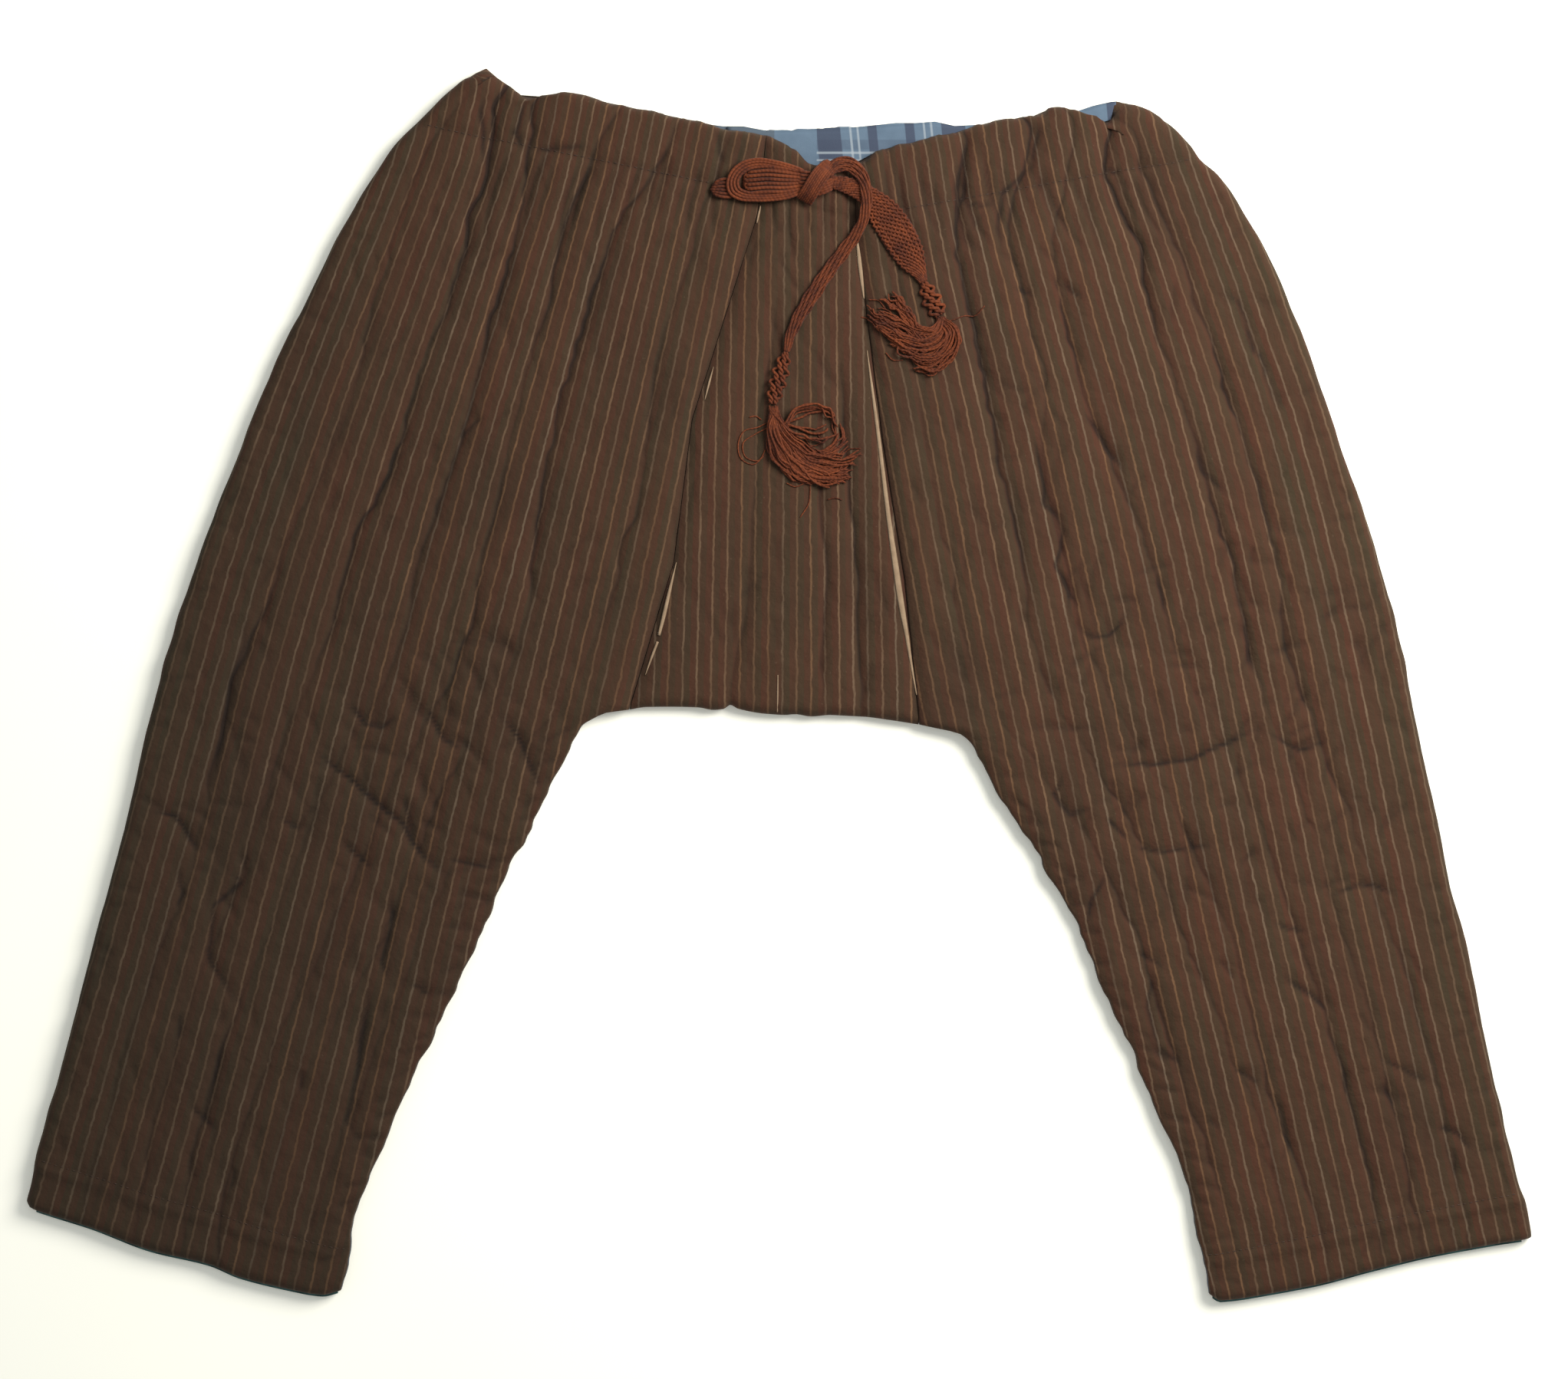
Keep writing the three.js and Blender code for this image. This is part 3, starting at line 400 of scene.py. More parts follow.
RIGHT_OUTER = [
    (472, 280), (463, 302), (438, 331), (425, 341), (413, 355), (376, 380), (339, 400),
    (301, 416), (264, 430), (190, 455), (115, 481), (41, 501), (4, 509), (-33, 516),
    (-108, 532), (-157, 541), (-207, 555), (-294, 573), (-343, 584), (-405, 599), (-418, 604),
    (-443, 609),
]
LEFT_WAIST = [
    (0, 0), (0.12, -2), (0.45, -3.5), (0.56, -5.5), (0.67, -2.7), (0.78, -10), (0.855, -18),
    (0.89, -14), (0.95, -8), (1, 0),
]
RIGHT_WAIST = [
    (0, 0), (0.04, -2), (0.09, 4.8), (0.39, 6.1), (0.52, 7.6), (0.685, 4.5), (0.72, 8.8),
    (0.84, -1), (0.868, -11.5), (0.89, -14.5), (0.925, -14.5), (0.96, -8.5), (1, 0),
]
LEFT_BACK_WAIST = [(0, 0), (0.12, -2), (0.3, -9), (0.6, -9), (0.72, -9), (0.855, -22), (1, 0)]
RIGHT_BACK_WAIST = [
    (0, 0), (0.28, -2), (0.45, -8.5), (0.72, -7), (0.85, -2.5), (0.92, 1.2), (0.97, 2.4), (1, 0),
]
LEFT_HEM = [
    (0, 0), (0.06, -8), (0.125, -10.7), (0.32, -13.8), (0.42, -11), (0.61, -14), (0.81, -10.2),
    (0.95, -9.8), (0.985, -9), (1, -5),
]
RIGHT_HEM = [
    (0, 0), (0.035, -6.8), (0.13, -8.8), (0.32, -9.6), (0.51, -6.6), (0.7, -4.6), (0.89, -5.4),
    (0.985, -6.5), (1, -6),
]
GUSSET_WAIST = [(0, 0), (0.3, -3.5), (0.5, -12), (0.83, -7.6), (1, 0)]
CROTCH_EDGE = [
    (0, 0), (0.06, 2.8), (0.24, 4.6), (0.285, 3.2), (0.325, 4.4), (0.349, 8), (0.375, 5.2), (0.468, 2.3),
    (0.532, 2), (0.577, 3.2), (0.623, 2), (0.7, 4), (0.806, 4), (0.9, 2.4), (1, 0),
]

# Long folds from the gathers down: place across the leg and depth at each station down it.
FOLD_STATIONS = [0, 0.05, 0.1, 0.2, 0.3, 0.4, 0.5, 0.7, 0.85, 1]
LEFT_FOLDS = [
    {"at": [0.12, 0.13, 0.14, 0.13, 0.1, 0.113, 0.11, 0.15, 0.13, 0.15],
     "deep": [2, 3, 2, 3, 4, 2.5, 1, 1.5, 2, 2]},
    {"at": [0.3, 0.302, 0.346, 0.332, 0.316, 0.291, 0.25, 0.24, 0.29, 0.28],
     "deep": [3, 7, 8, 8, 6, 5, 3, 2.5, 2, 2]},
    {"at": [0.5, 0.49, 0.472, 0.426, 0.41, 0.4, 0.36, 0.38, 0.42, 0.4],
     "deep": [3, 5, 6, 5, 5, 6, 5, 2, 2, 4]},
    {"at": [0.8, 0.66, 0.6, 0.55, 0.525, 0.535, 0.5, 0.54, 0.55, 0.5],
     "deep": [8, 8, 7, 8, 8, 6, 4, 2, 3, 2]},
    {"at": [0.92, 0.775, 0.717, 0.665, 0.655, 0.681, 0.66, 0.67, 0.68, 0.66],
     "deep": [7, 9, 8, 7, 8, 5.5, 3.5, 2, 2.5, 2]},
    {"at": [0.97, 0.93, 0.89, 0.837, 0.79, 0.82, 0.826, 0.8, 0.82, 0.82],
     "deep": [0, 4, 5, 4, 2, 3, 6, 3, 2, 2]},
]
RIGHT_FOLDS = [
    {"at": [0.12, 0.12, 0.1, 0.1, 0.1, 0.11, 0.12, 0.14, 0.1, 0.12],
     "deep": [3, 3, 2, 1, 2, 2, 1, 4, 4, 2]},
    {"at": [0.4, 0.29, 0.252, 0.255, 0.25, 0.255, 0.25, 0.26, 0.27, 0.27],
     "deep": [8, 9, 9, 9, 6, 4, 3, 3, 4, 2]},
    {"at": [0.62, 0.47, 0.385, 0.39, 0.34, 0.35, 0.36, 0.38, 0.34, 0.38],
     "deep": [7, 6, 4, 4, 4, 3, 2, 2, 4, 2]},
    {"at": [0.76, 0.6, 0.5, 0.468, 0.5, 0.53, 0.54, 0.56, 0.56, 0.53],
     "deep": [3, 4, 4, 5, 6, 4, 2, 4, 5, 2]},
    {"at": [0.88, 0.72, 0.705, 0.67, 0.685, 0.69, 0.68, 0.68, 0.68, 0.66],
     "deep": [8, 7, 7, 6, 5, 5, 3, 2, 4, 2]},
    {"at": [0.955, 0.83, 0.79, 0.786, 0.79, 0.783, 0.76, 0.8, 0.82, 0.8],
     "deep": [4, 7, 8, 7, 7, 6, 5, 3, 3, 3]},
]
GUSSET_FOLDS = [
    {"at": 0.34, "deep": 2.5, "from": 0.25, "to": 1},
    {"at": 0.66, "deep": 4, "from": 0.45, "to": 0.95},
    {"at": 0.8, "deep": 5, "from": 0.35, "to": 1},
]

# Shorter creases, listed: depth and the points that each runs through, in mm.
CREASES = [
    # The left leg, from the casing down.
    (4, [(-237, 477), (-240, 455), (-238, 418)]), (4, [(-204, 474), (-214, 445), (-202, 430)]),
    (3, [(-202, 434), (-150, 434)]), (3, [(-47, 447), (-46, 420)]),
    (3, [(-262, 196), (-250, 206), (-238, 217)]), (3, [(-425, 60), (-445, -10), (-460, -85)]),
    (5, [(-383, -45), (-347, -76), (-314, -104), (-294, -128), (-278, -147), (-262, -159)]),
    (4, [(-350, -10), (-335, -28), (-322, -36), (-308, -24)]),
    (4, [(-286, -15), (-270, -43), (-253, -57)]), (4, [(-226, -22), (-209, -42), (-190, -88)]),
    (3.5, [(-300, -88), (-300, -112), (-293, -126)]), (3.5, [(-270, -140), (-225, -147)]),
    (4.5, [(-508, -100), (-488, -106), (-466, -135)]), (4, [(-351, -126), (-326, -149)]),
    (3, [(-484, -145), (-480, -169), (-489, -182)]), (3, [(-404, -104), (-386, -117)]),
    (3.5, [(-452, -140), (-436, -161), (-456, -178), (-462, -213), (-452, -238), (-431, -266)]),
    (4, [(-312, -165), (-314, -193), (-323, -221), (-314, -242)]),
    (3.5, [(-331, -233), (-335, -282), (-339, -314), (-349, -350), (-331, -376)]),
    (2.5, [(-446, -278), (-456, -318), (-462, -351), (-451, -364)]), (3, [(-476, -339), (-454, -360)]),
    (3, [(-335, -260), (-340, -320)]), (2.5, [(-385, -310), (-388, -330)]),
    (2.5, [(-440, -390), (-445, -410)]), (2.5, [(-483, -265), (-485, -290)]),
    (3, [(-300, -240), (-278, -254)]),
    # The right leg, from the casing down.
    (4, [(147, 447), (149, 400), (143, 365)]), (3.5, [(210, 455), (208, 435), (205, 418)]),
    (3.5, [(210, 420), (192, 410), (180, 398), (177, 378), (180, 345)]),
    (3, [(262, 418), (275, 412)]), (3, [(150, 390), (174, 388)]), (3, [(190, 319), (206, 314)]),
    (3, [(228, 327), (246, 311)]), (4, [(350, 320), (370, 310), (380, 280), (390, 265), (402, 215)]),
    (4, [(243, 224), (257, 202), (267, 188), (280, 169)]), (3, [(335, 198), (343, 170), (366, 150)]),
    (4, [(205, 200), (215, 145), (230, 130)]), (3, [(225, 90), (240, 65)]),
    (4, [(218, 150), (228, 125), (224, 97), (234, 77), (234, 50)]),
    (3.5, [(236, 48), (250, 40), (265, 40), (283, 62)]), (3, [(375, 55), (378, 30), (382, 10)]),
    (3, [(305, 90), (310, 70), (312, 55)]), (3.5, [(230, -70), (222, -88), (234, -104), (255, -100)]),
    (4.5, [(262, -66), (295, -64), (327, -62), (356, -50), (376, -40), (394, -34)]),
    (3, [(394, -38), (424, -52), (446, -43)]), (4, [(262, -107), (282, -127)]),
    (3, [(321, -108), (335, -130), (350, -128)]), (3.5, [(283, -131), (310, -134), (338, -131)]),
    (4, [(249, -195), (253, -173), (262, -152)]), (3.5, [(444, -171), (469, -163), (501, -167)]),
    (3, [(400, -189), (412, -197), (429, -201)]), (3, [(287, -213), (311, -230)]),
    (2.5, [(356, -221), (369, -238)]), (4, [(407, -233), (428, -250), (445, -266)]),
    (3, [(300, -230), (298, -260), (303, -280), (310, -300)]), (3, [(307, -293), (325, -305)]),
    (3, [(366, -310), (391, -320)]), (3, [(485, -302), (501, -310), (526, -322)]),
    (3, [(400, -330), (410, -360), (412, -380)]), (2.5, [(343, -350), (356, -359)]),
    (4, [(529, -355), (549, -363), (560, -376)]), (2.5, [(455, -310), (460, -330)]),
    (2.5, [(485, -320), (495, -345)]), (2.5, [(543, -375), (545, -400)]),
]

# Reference stripes down each leg, (y, x), and how many stripes lie between the two.
LEFT_STRIPES = {
    "inner": [(500, -48), (440, -60), (330, -85), (210, -112), (90, -139), (-30, -167), (-150, -195),
              (-270, -223), (-390, -251), (-500, -277)],
    "outer": [(500, -283), (440, -300), (330, -342), (210, -387), (90, -426), (-30, -459), (-150, -491),
              (-270, -524), (-390, -558), (-500, -590)],
    "between": 24,
}
RIGHT_STRIPES = {
    "inner": [(500, 74), (440, 82), (330, 100), (210, 125), (90, 148), (-30, 172), (-150, 198),
              (-270, 226), (-390, 254), (-500, 280)],
    "outer": [(500, 284), (440, 300), (330, 338), (270, 358), (210, 377), (90, 408), (-30, 434),
              (-150, 459), (-270, 486), (-390, 514), (-500, 540)],
    "between": 22,
}


# %% [markdown]
# ## How the cloth's height is found
# Wadded cloth rises between its seams and creases in soft puffs, so a crease is not a groove: the
# cloth falls steeply just beside the line and is nearly level on the crown. `valley` gives that
# form. The long folds and the listed creases come from the tables; small puckers are scattered with
# a fixed seed, along the stripes and across the seams, as wadding that was tacked by hand makes.

# %% Puckers and creases
def scatter_puckers(seed, count, x_range, y_range, lean, length, depth):
    """Random short creases, as (x, y, turn, length, depth, reach). The lean is in degrees."""
    rng = np.random.default_rng(seed)
    marks = []
    for _ in range(count):
        x, y = rng.uniform(*x_range), rng.uniform(*y_range)
        turn = math.radians(lean) + math.radians(rng.normal(0, 26))
        marks.append((x, y, turn, rng.uniform(*length), rng.uniform(*depth), rng.uniform(2.2, 5)))
    return marks


def press_marks(height, crease_shade, x, y, marks):
    """Presses short soft creases into a height field, in place, and paints shade into their bottoms."""
    for mx, my, turn, length, depth, reach in marks:
        far = length / 2 + 3 * reach
        near = np.nonzero((np.abs(x - mx) < far) & (np.abs(y - my) < far))
        dx, dy = x[near] - mx, y[near] - my
        along = dx * math.cos(turn) + dy * math.sin(turn)
        across = dy * math.cos(turn) - dx * math.sin(turn) + 0.004 * along**2
        fade = smooth_step(1.4 * (1 - np.abs(along) / (length / 2 + reach)))
        height[near] -= depth * fade * valley(across, reach)
        crease_shade[near] += 0.14 * depth * fade * bell(across, 2.2)


def press_creases(height, crease_shade, x, y):
    """Presses the listed creases in, each wandering a little and fading out at its ends."""
    wx = x + 2.2 * value_noise(x, y, 16, 11)
    wy = y + 2.2 * value_noise(x, y, 16, 12)
    for depth, points in CREASES:
        near = near_box(x, y, points, 40)
        if len(near[0]) == 0:
            continue
        distance, along = to_polyline(wx[near], wy[near], points)
        fade = smooth_step(3 * along + 0.1) * smooth_step(3 * (1 - along) + 0.1)
        side = 0.6 * valley(distance, 3) + 0.4 * valley(distance, 8, 2)
        height[near] -= 0.75 * depth * fade * side
        # Paints shade into the bottom of each crease.
        crease_shade[near] += 0.2 * depth * fade * bell(distance, 1.8)


def press_stitches(height, crease_shade, t, row, trough_shade=0.0):
    """Presses in the trough of a row of stitches at a share of the way down, and paints shade in it."""
    away = (t - row) * LEG_LENGTH
    height -= STITCH_DEPTH * valley(away, 4)
    crease_shade += trough_shade * bell(away, 1.4)


def seam_dip(across):
    """How the cloth falls towards a seam, from 1 at the seam to 0."""
    return 0.55 * valley(across, 3.5) + 0.45 * bell(across, 9)


def firm(height, full):
    """Where creases meet, the wadding resists: their depths add up to less than their sum."""
    return full - FIRMEST * np.tanh((full - height) / FIRMEST)


def round_off(height, from_edge):
    """Rounds the cloth down to a turned edge, given the distance from it in mm."""
    rounding = np.sqrt(clamp01(1 - (1 - clamp01((from_edge + 0.15) / TURN_ROUND)) ** 2))
    return EDGE_WALL + (height - EDGE_WALL) * rounding


def room_for_cords(z, x, y):
    """Keeps the cloth under the drawstring, with a soft hollow where its weight presses."""
    for route in CORD_ROUTES:
        line = resample(route, 4)
        near = near_box(x, y, line, 30)
        if len(near[0]) == 0:
            continue
        px, py = x[near], y[near]
        apart = np.hypot(px[:, None] - line[None, :, 0], py[:, None] - line[None, :, 1])
        k = np.argmin(apart, axis=1)
        beyond = np.maximum(0, apart[np.arange(len(k)), k] - line[k, 3] / 2)
        bottom = line[k, 2] - TAPE_HALF - CORD_CLEAR
        z[near] = np.minimum(z[near], bottom + 0.35 * beyond)


# %% The two legs
def inside_height(t):
    """Height of the front layer's underside, which rises over the lining at the waist and hem."""
    waist = clamp01(1 - (t - 0.038) / 0.05)
    hem = clamp01(1 - (HEM_AT - t) / 0.01)
    return OVER_BACK + (OVER_LINING - OVER_BACK) * np.maximum(waist, hem)


def near_waist(t):
    """How much the waves of the waist still count, from 1 at its edge to 0."""
    return clamp01(1 - t / WAIST_REACH) ** 2


def near_hem(t):
    return clamp01((t - 1 + HEM_REACH) / HEM_REACH) ** 2


def ragged_edge(x):
    """Small unevenness of the waist's edge, in mm."""
    return 0.9 * line_noise(x, 8, 15) + 0.5 * line_noise(x, 3.5, 16)


def waved(spec, layer, u, t, y, ragged=0.0):
    """Where the waves of the waist and the hem move a place of a layer that was at y."""
    if layer == "front":
        lift = spec["waist"](u)
    else:
        lift = spec["back_lift"] * (1 - u) + spec["back_waist"](u)
    return y + (lift + ragged) * near_waist(t) + (spec["hem"](u) + LINING_SHOWS) * near_hem(t)


def joined(parts, outer, down):
    """A wall's rings of points, outer count, UV map and painted crease shade, from its parts side by side.
    """
    x, y, z, number, crease_shade = (np.concatenate([part[k] for part in parts], axis=1) for k in range(5))
    return np.stack([x, y, z], -1), outer, np.stack([number, down(y)], -1), crease_shade


def clustered(first, last, count, squeeze=0.45):
    """Shares between two columns of mesh lines, closer together near both."""
    s = np.arange(count) / count
    s = s - squeeze * np.sin(2 * np.pi * s) / (2 * np.pi)
    return first + (last - first) * s[None, :]


def inner_edge(seam_x, table, ends):
    """The gusset seam and, below the crotch, the inner leg, as (x, y) at shares of the way down."""
    curve = smooth_curve(table)
    top, bottom = ends

    def edge(t):
        y = top + (bottom - top) * t
        wave = line_noise(t * LEG_LENGTH, 15, 5) + 0.6 * line_noise(t * LEG_LENGTH, 7, 6)
        seam = np.interp(t, SEAM_AT, seam_x)
        past = smooth_step((t - CROTCH_AT) / 0.02)
        return np.where(t <= CROTCH_AT, seam, curve(y) + 1.3 * wave * past), y

    return edge


def outer_edge(table):
    """The outer side of a leg, in the same form."""
    curve = smooth_curve(table)
    top, bottom = table[0][0], table[-1][0]

    def edge(t):
        y = top + (bottom - top) * t
        return curve(y), y

    return edge


def build_leg(spec):
    """The leg's wall as rings of points: (rings, outer count, UV, painted crease shade)."""
    t = np.concatenate([FIRST_ROWS, np.linspace(*BODY_ROWS, LEG_ROWS), LAST_ROWS])[:, None]
    ix, iy = spec["inner_edge"](t)
    ix = ix + spec["out"] * SEAM_GAP / 2
    ox, oy = spec["outer_edge"](t)
    ox = ox + spec["out"] * 0.7 * line_noise(oy, 19, 3)
    w = np.hypot(ox - ix, oy - iy)

    def place(u, layer):
        x, y = ix + (ox - ix) * u, iy + (oy - iy) * u
        return x, waved(spec, layer, u, t, y, ragged_edge(x))

    # Mesh lines follow the folds, which wander a little from the straight.
    length = t * LEG_LENGTH
    calm = smooth_down(ix, 71)
    folds = []
    for k, fold in enumerate(spec["folds"]):
        at = smooth_curve(list(zip(FOLD_STATIONS, fold["at"])))(t)
        wander = 2.6 * line_noise(length, 26, 20 + k) + 1.2 * line_noise(length, 9, 40 + k)
        deep = smooth_curve(list(zip(FOLD_STATIONS, fold["deep"])))(t)
        deep = deep * (0.85 + 0.5 * line_noise(length, 55, 60 + k))
        at = np.maximum(0.055, (calm + (ox - calm) * at - ix) / (ox - ix))
        folds.append((at + wander / w * smooth_step(t / 0.02), deep))
    last = 1 - SIDE_ROUND / w
    stops = [0.9 / w, *(at for at, _ in folds), last]
    columns = [clustered(a, b, LEG_COLUMNS) for a, b in zip(stops[:-1], stops[1:])]
    u = np.concatenate([*columns, last], axis=1)

    # Height of the front layer.
    x, y = place(u, "front")
    h = np.full(x.shape, FRONT_WALL)
    # Painted shade for the bottoms of the seam, the folds, the creases and the stitch troughs.
    crease_shade = np.zeros(x.shape)
    across = u * w
    h -= SEAM_FALL * seam_dip(across)
    crease_shade += 0.45 * bell(across, 1.6) * (t < CROTCH_AT)
    for at, deep in folds:
        away = (u - at) * w
        near_side = np.where(away * spec["out"] < 0, 2.6, 4.2)
        h -= deep * (0.48 * valley(away, near_side, 0.6) + 0.32 * valley(away, 11, 2))
        crease_shade += 0.13 * deep * bell(away, 1.6)
    press_stitches(h, crease_shade, t, CASING_AT, 0.15)
    press_stitches(h, crease_shade, t, HEM_AT, 0.2)
    press_creases(h, crease_shade, x, y)
    press_marks(h, crease_shade, x, y, spec["marks"])
    h += relief(x, y, 0.9, 0.55, 0.3)
    h = firm(h, FRONT_WALL)
    flat_hem = smooth_step((t - HEM_AT - 0.004) / 0.01)
    h = h * (1 - flat_hem) + flat_hem * (HEM_WALL + 0.35 * (h - HEM_WALL))
    h = round_off(np.maximum(LEAST_WALL, h), np.minimum(t, 1 - t) * LEG_LENGTH)
    z = inside_height(t) + h
    room_for_cords(z, x, y)

    # The front, the fold at the outer side, the back and then the inside of the wall.
    number = stripe_numbers(x, y, z, spec["stripes"])
    crown = z[:, -1:]
    parts = [(x, y, z, number, crease_shade)]
    per_mm = np.sign(number[:, -1:] - number[:, -6:-5]) / STRIPE_PITCH

    def add(u_at, layer, z_at, from_fold):
        px, py = place(u_at, layer)
        parts.append((px, py, z_at + 0 * px, number[:, -1:] + per_mm * from_fold + 0 * px, 0 * px))

    for turn in np.radians([70, 50, 30, 10, -12, -34, -56, -76]):
        inset = SIDE_ROUND * (1 - math.cos(turn))
        layer = "front" if turn > -0.1 else "back"
        add(1 - inset / w, layer, crown / 2 * (1 + math.sin(turn)), (math.pi / 2 - turn) * SIDE_ROUND)
    rest = 3.2 * SIDE_ROUND  # cloth that the fold takes up
    for s in np.linspace(0, 1, 16):
        u_at = last + (EDGE_ROUND / w - last) * s
        add(u_at, "back", 0, rest + (last - u_at) * w)
    end = rest + last * w
    for inset, height in [(0.9, 0.5), (0, 1.6)]:
        add(inset / w, "back", height, end)
    outer = sum(part[0].shape[1] for part in parts)
    for inset, height in [(0, 3.6), (0.9, 4.6), (EDGE_ROUND, BACK_WALL)]:
        add(inset / w, "back", height, end)
    inner_columns = np.linspace(0, 1, 14)
    side = 1 - 1.3 * SIDE_ROUND / w
    for s in inner_columns[1:]:
        add(EDGE_ROUND / w + (side - EDGE_ROUND / w) * s, "back", BACK_WALL, end)
    inside = inside_height(t)
    for s in inner_columns[::-1]:
        add(1.2 / w + (side - 1.2 / w) * s, "front", inside, end)
    closed = inside - 0.6 * smooth_step((t - CROTCH_AT) / 0.02)
    add(0 * w, "front", closed + 0.25 * h[:, :1], end)
    add(0 * w, "front", inside + 0.75 * h[:, :1], end)
    return joined(parts, outer, lambda y: np.broadcast_to(length / STRIPE_PITCH, y.shape))


def smooth_down(values, reach):
    """Averages a grid down its rows, over `reach` rows."""
    weights = np.hanning(reach + 2)[1:-1]
    padded = np.pad(values, ((reach // 2, reach // 2), (0, 0)), mode="edge")
    total = sum(w * padded[k:k + len(values)] for k, w in enumerate(weights))
    return total / weights.sum()


def stripe_numbers(x, y, z, stripes):
    """Counts stripes by the distance along the cloth between the two reference stripes. What the
    folds add to that distance is averaged down the leg, and only a part of it stays local."""
    out = np.sign(x[0, -1] - x[0, 0])
    step = np.abs(np.diff(x, axis=1))
    extra = np.cumsum(np.hypot(step, 0.8 * np.diff(z, axis=1)) - step, axis=1)
    extra = np.concatenate([np.zeros((len(x), 1)), extra], axis=1)
    extra -= extra[:, extra.shape[1] // 2, None]
    calm = smooth_down(extra, 45)
    along = np.abs(x - x[:, :1]) + calm + 0.4 * (smooth_down(extra, 5) - calm)
    inner, outer = smooth_curve(stripes["inner"]), smooth_curve(stripes["outer"])
    number = np.zeros(x.shape)
    for r in range(len(x)):
        from_inner = out * (x[r] - inner(y[r]))
        from_outer = out * (x[r] - outer(y[r]))
        first = np.interp(0, from_inner, along[r]) - max(0, from_inner[0])
        last = np.interp(0, from_outer, along[r]) - min(0, from_outer[-1])
        number[r] = (along[r] - first) / (last - first) * stripes["between"]
    return number


# %% Numbers for each leg
def gathers(seed, seam_x, outer_x, top, slope, count):
    """Short folds that run down from the casing, between the long ones."""
    rng = np.random.default_rng(seed)
    marks = []
    for k in range(count):
        share = (k + 0.5 + rng.uniform(-0.3, 0.3)) / count
        x = seam_x + (outer_x - seam_x) * share
        length = rng.uniform(38, 95)
        y = top - 18 - 0.3 * length + rng.uniform(-8, 8)
        turn = math.radians(90) - math.atan(slope * (0.5 + 0.7 * share)) + rng.normal(0, 0.06)
        marks.append((x, y, turn, length, rng.uniform(1.2, 3), rng.uniform(2.2, 3.6)))
    return marks


def scallops(seed, table, span, gap, inward, depth):
    """Small puckers that run in from a seamed or folded edge, given as its table of (y, x)."""
    where, rng = np.random.default_rng(seed + 1), np.random.default_rng(seed)
    rows = np.arange(*span, gap)
    rows = rows + where.uniform(-0.35, 0.35, len(rows)) * gap
    marks = []
    for y, x in zip(rows, smooth_curve(table)(rows)):
        turn = math.radians(rng.uniform(-40, 15)) * inward
        length = rng.uniform(14, 36)
        marks.append((x + inward * length / 2, y, turn, length, rng.uniform(*depth), rng.uniform(2, 3.4)))
    return marks


left_marks = (
    scatter_puckers(101, 330, (-610, -60), (-480, 430), 75, (8, 40), (0.4, 1.5))
    + scatter_puckers(102, 70, (-480, -180), (-190, 60), -38, (12, 50), (0.7, 2.2))
    + gathers(103, -20, -250, 440, 0.35, 17)
    + scallops(104, LEFT_INNER, (-485, -30), 17, -1, (0.8, 2.4))
    + scallops(106, LEFT_OUTER, (-400, 440), 24, 1, (0.5, 1.5))
)
right_marks = (
    scatter_puckers(201, 360, (60, 610), (-480, 430), 103, (8, 40), (0.4, 1.6))
    + scatter_puckers(202, 90, (170, 500), (-220, 160), 30, (12, 46), (0.7, 2.2))
    + gathers(203, 66, 300, 430, -0.35, 17)
    + scallops(204, RIGHT_INNER, (-485, -40), 17, 1, (0.8, 2.4))
    + scallops(206, RIGHT_OUTER, (-430, 430), 24, -1, (0.5, 1.5))
)
# A leg runs out to -x or +x. The back waist stands above the front one by its lift at the seam.
LEGS = {
    "leg_left": {
        "out": -1, "folds": LEFT_FOLDS, "stripes": LEFT_STRIPES, "marks": left_marks,
        "inner_edge": inner_edge(LEFT_SEAM, LEFT_INNER, LEFT_INNER_ENDS),
        "outer_edge": outer_edge(LEFT_OUTER), "back_lift": LEFT_BACK_LIFT,
        "waist": smooth_curve(LEFT_WAIST), "back_waist": smooth_curve(LEFT_BACK_WAIST),
        "hem": smooth_curve(LEFT_HEM),
    },
    "leg_right": {
        "out": 1, "folds": RIGHT_FOLDS, "stripes": RIGHT_STRIPES, "marks": right_marks,
        "inner_edge": inner_edge(RIGHT_SEAM, RIGHT_INNER, RIGHT_INNER_ENDS),
        "outer_edge": outer_edge(RIGHT_OUTER), "back_lift": RIGHT_BACK_LIFT,
        "waist": smooth_curve(RIGHT_WAIST), "back_waist": smooth_curve(RIGHT_BACK_WAIST),
        "hem": smooth_curve(RIGHT_HEM),
    },
}
pieces = {}
for node, spec in LEGS.items():
    pieces[node] = ring_mesh("trouser_" + node, *build_leg(spec))
    print(node, "faces", len(pieces[node].data.polygons))


# %% [markdown]
# ## The gusset
# The gusset is the trapezoid between the legs. Front and back are one piece, folded at the crotch,
# so its rings run down the front, round the fold and up the back.

# %% Gusset
def back_lift(u):
    """How far the gusset's back waist stands above the front one, at a share across."""
    return LEFT_BACK_LIFT + (RIGHT_BACK_LIFT - LEFT_BACK_LIFT) * u


def gusset_stripe(x, y):
    """The number of the stripe at a place: they run straight down and lie a little apart."""
    return (x - 20) / (GUSSET_PITCH * (1 + GUSSET_SPREAD * (GUSSET_TOP - y)))


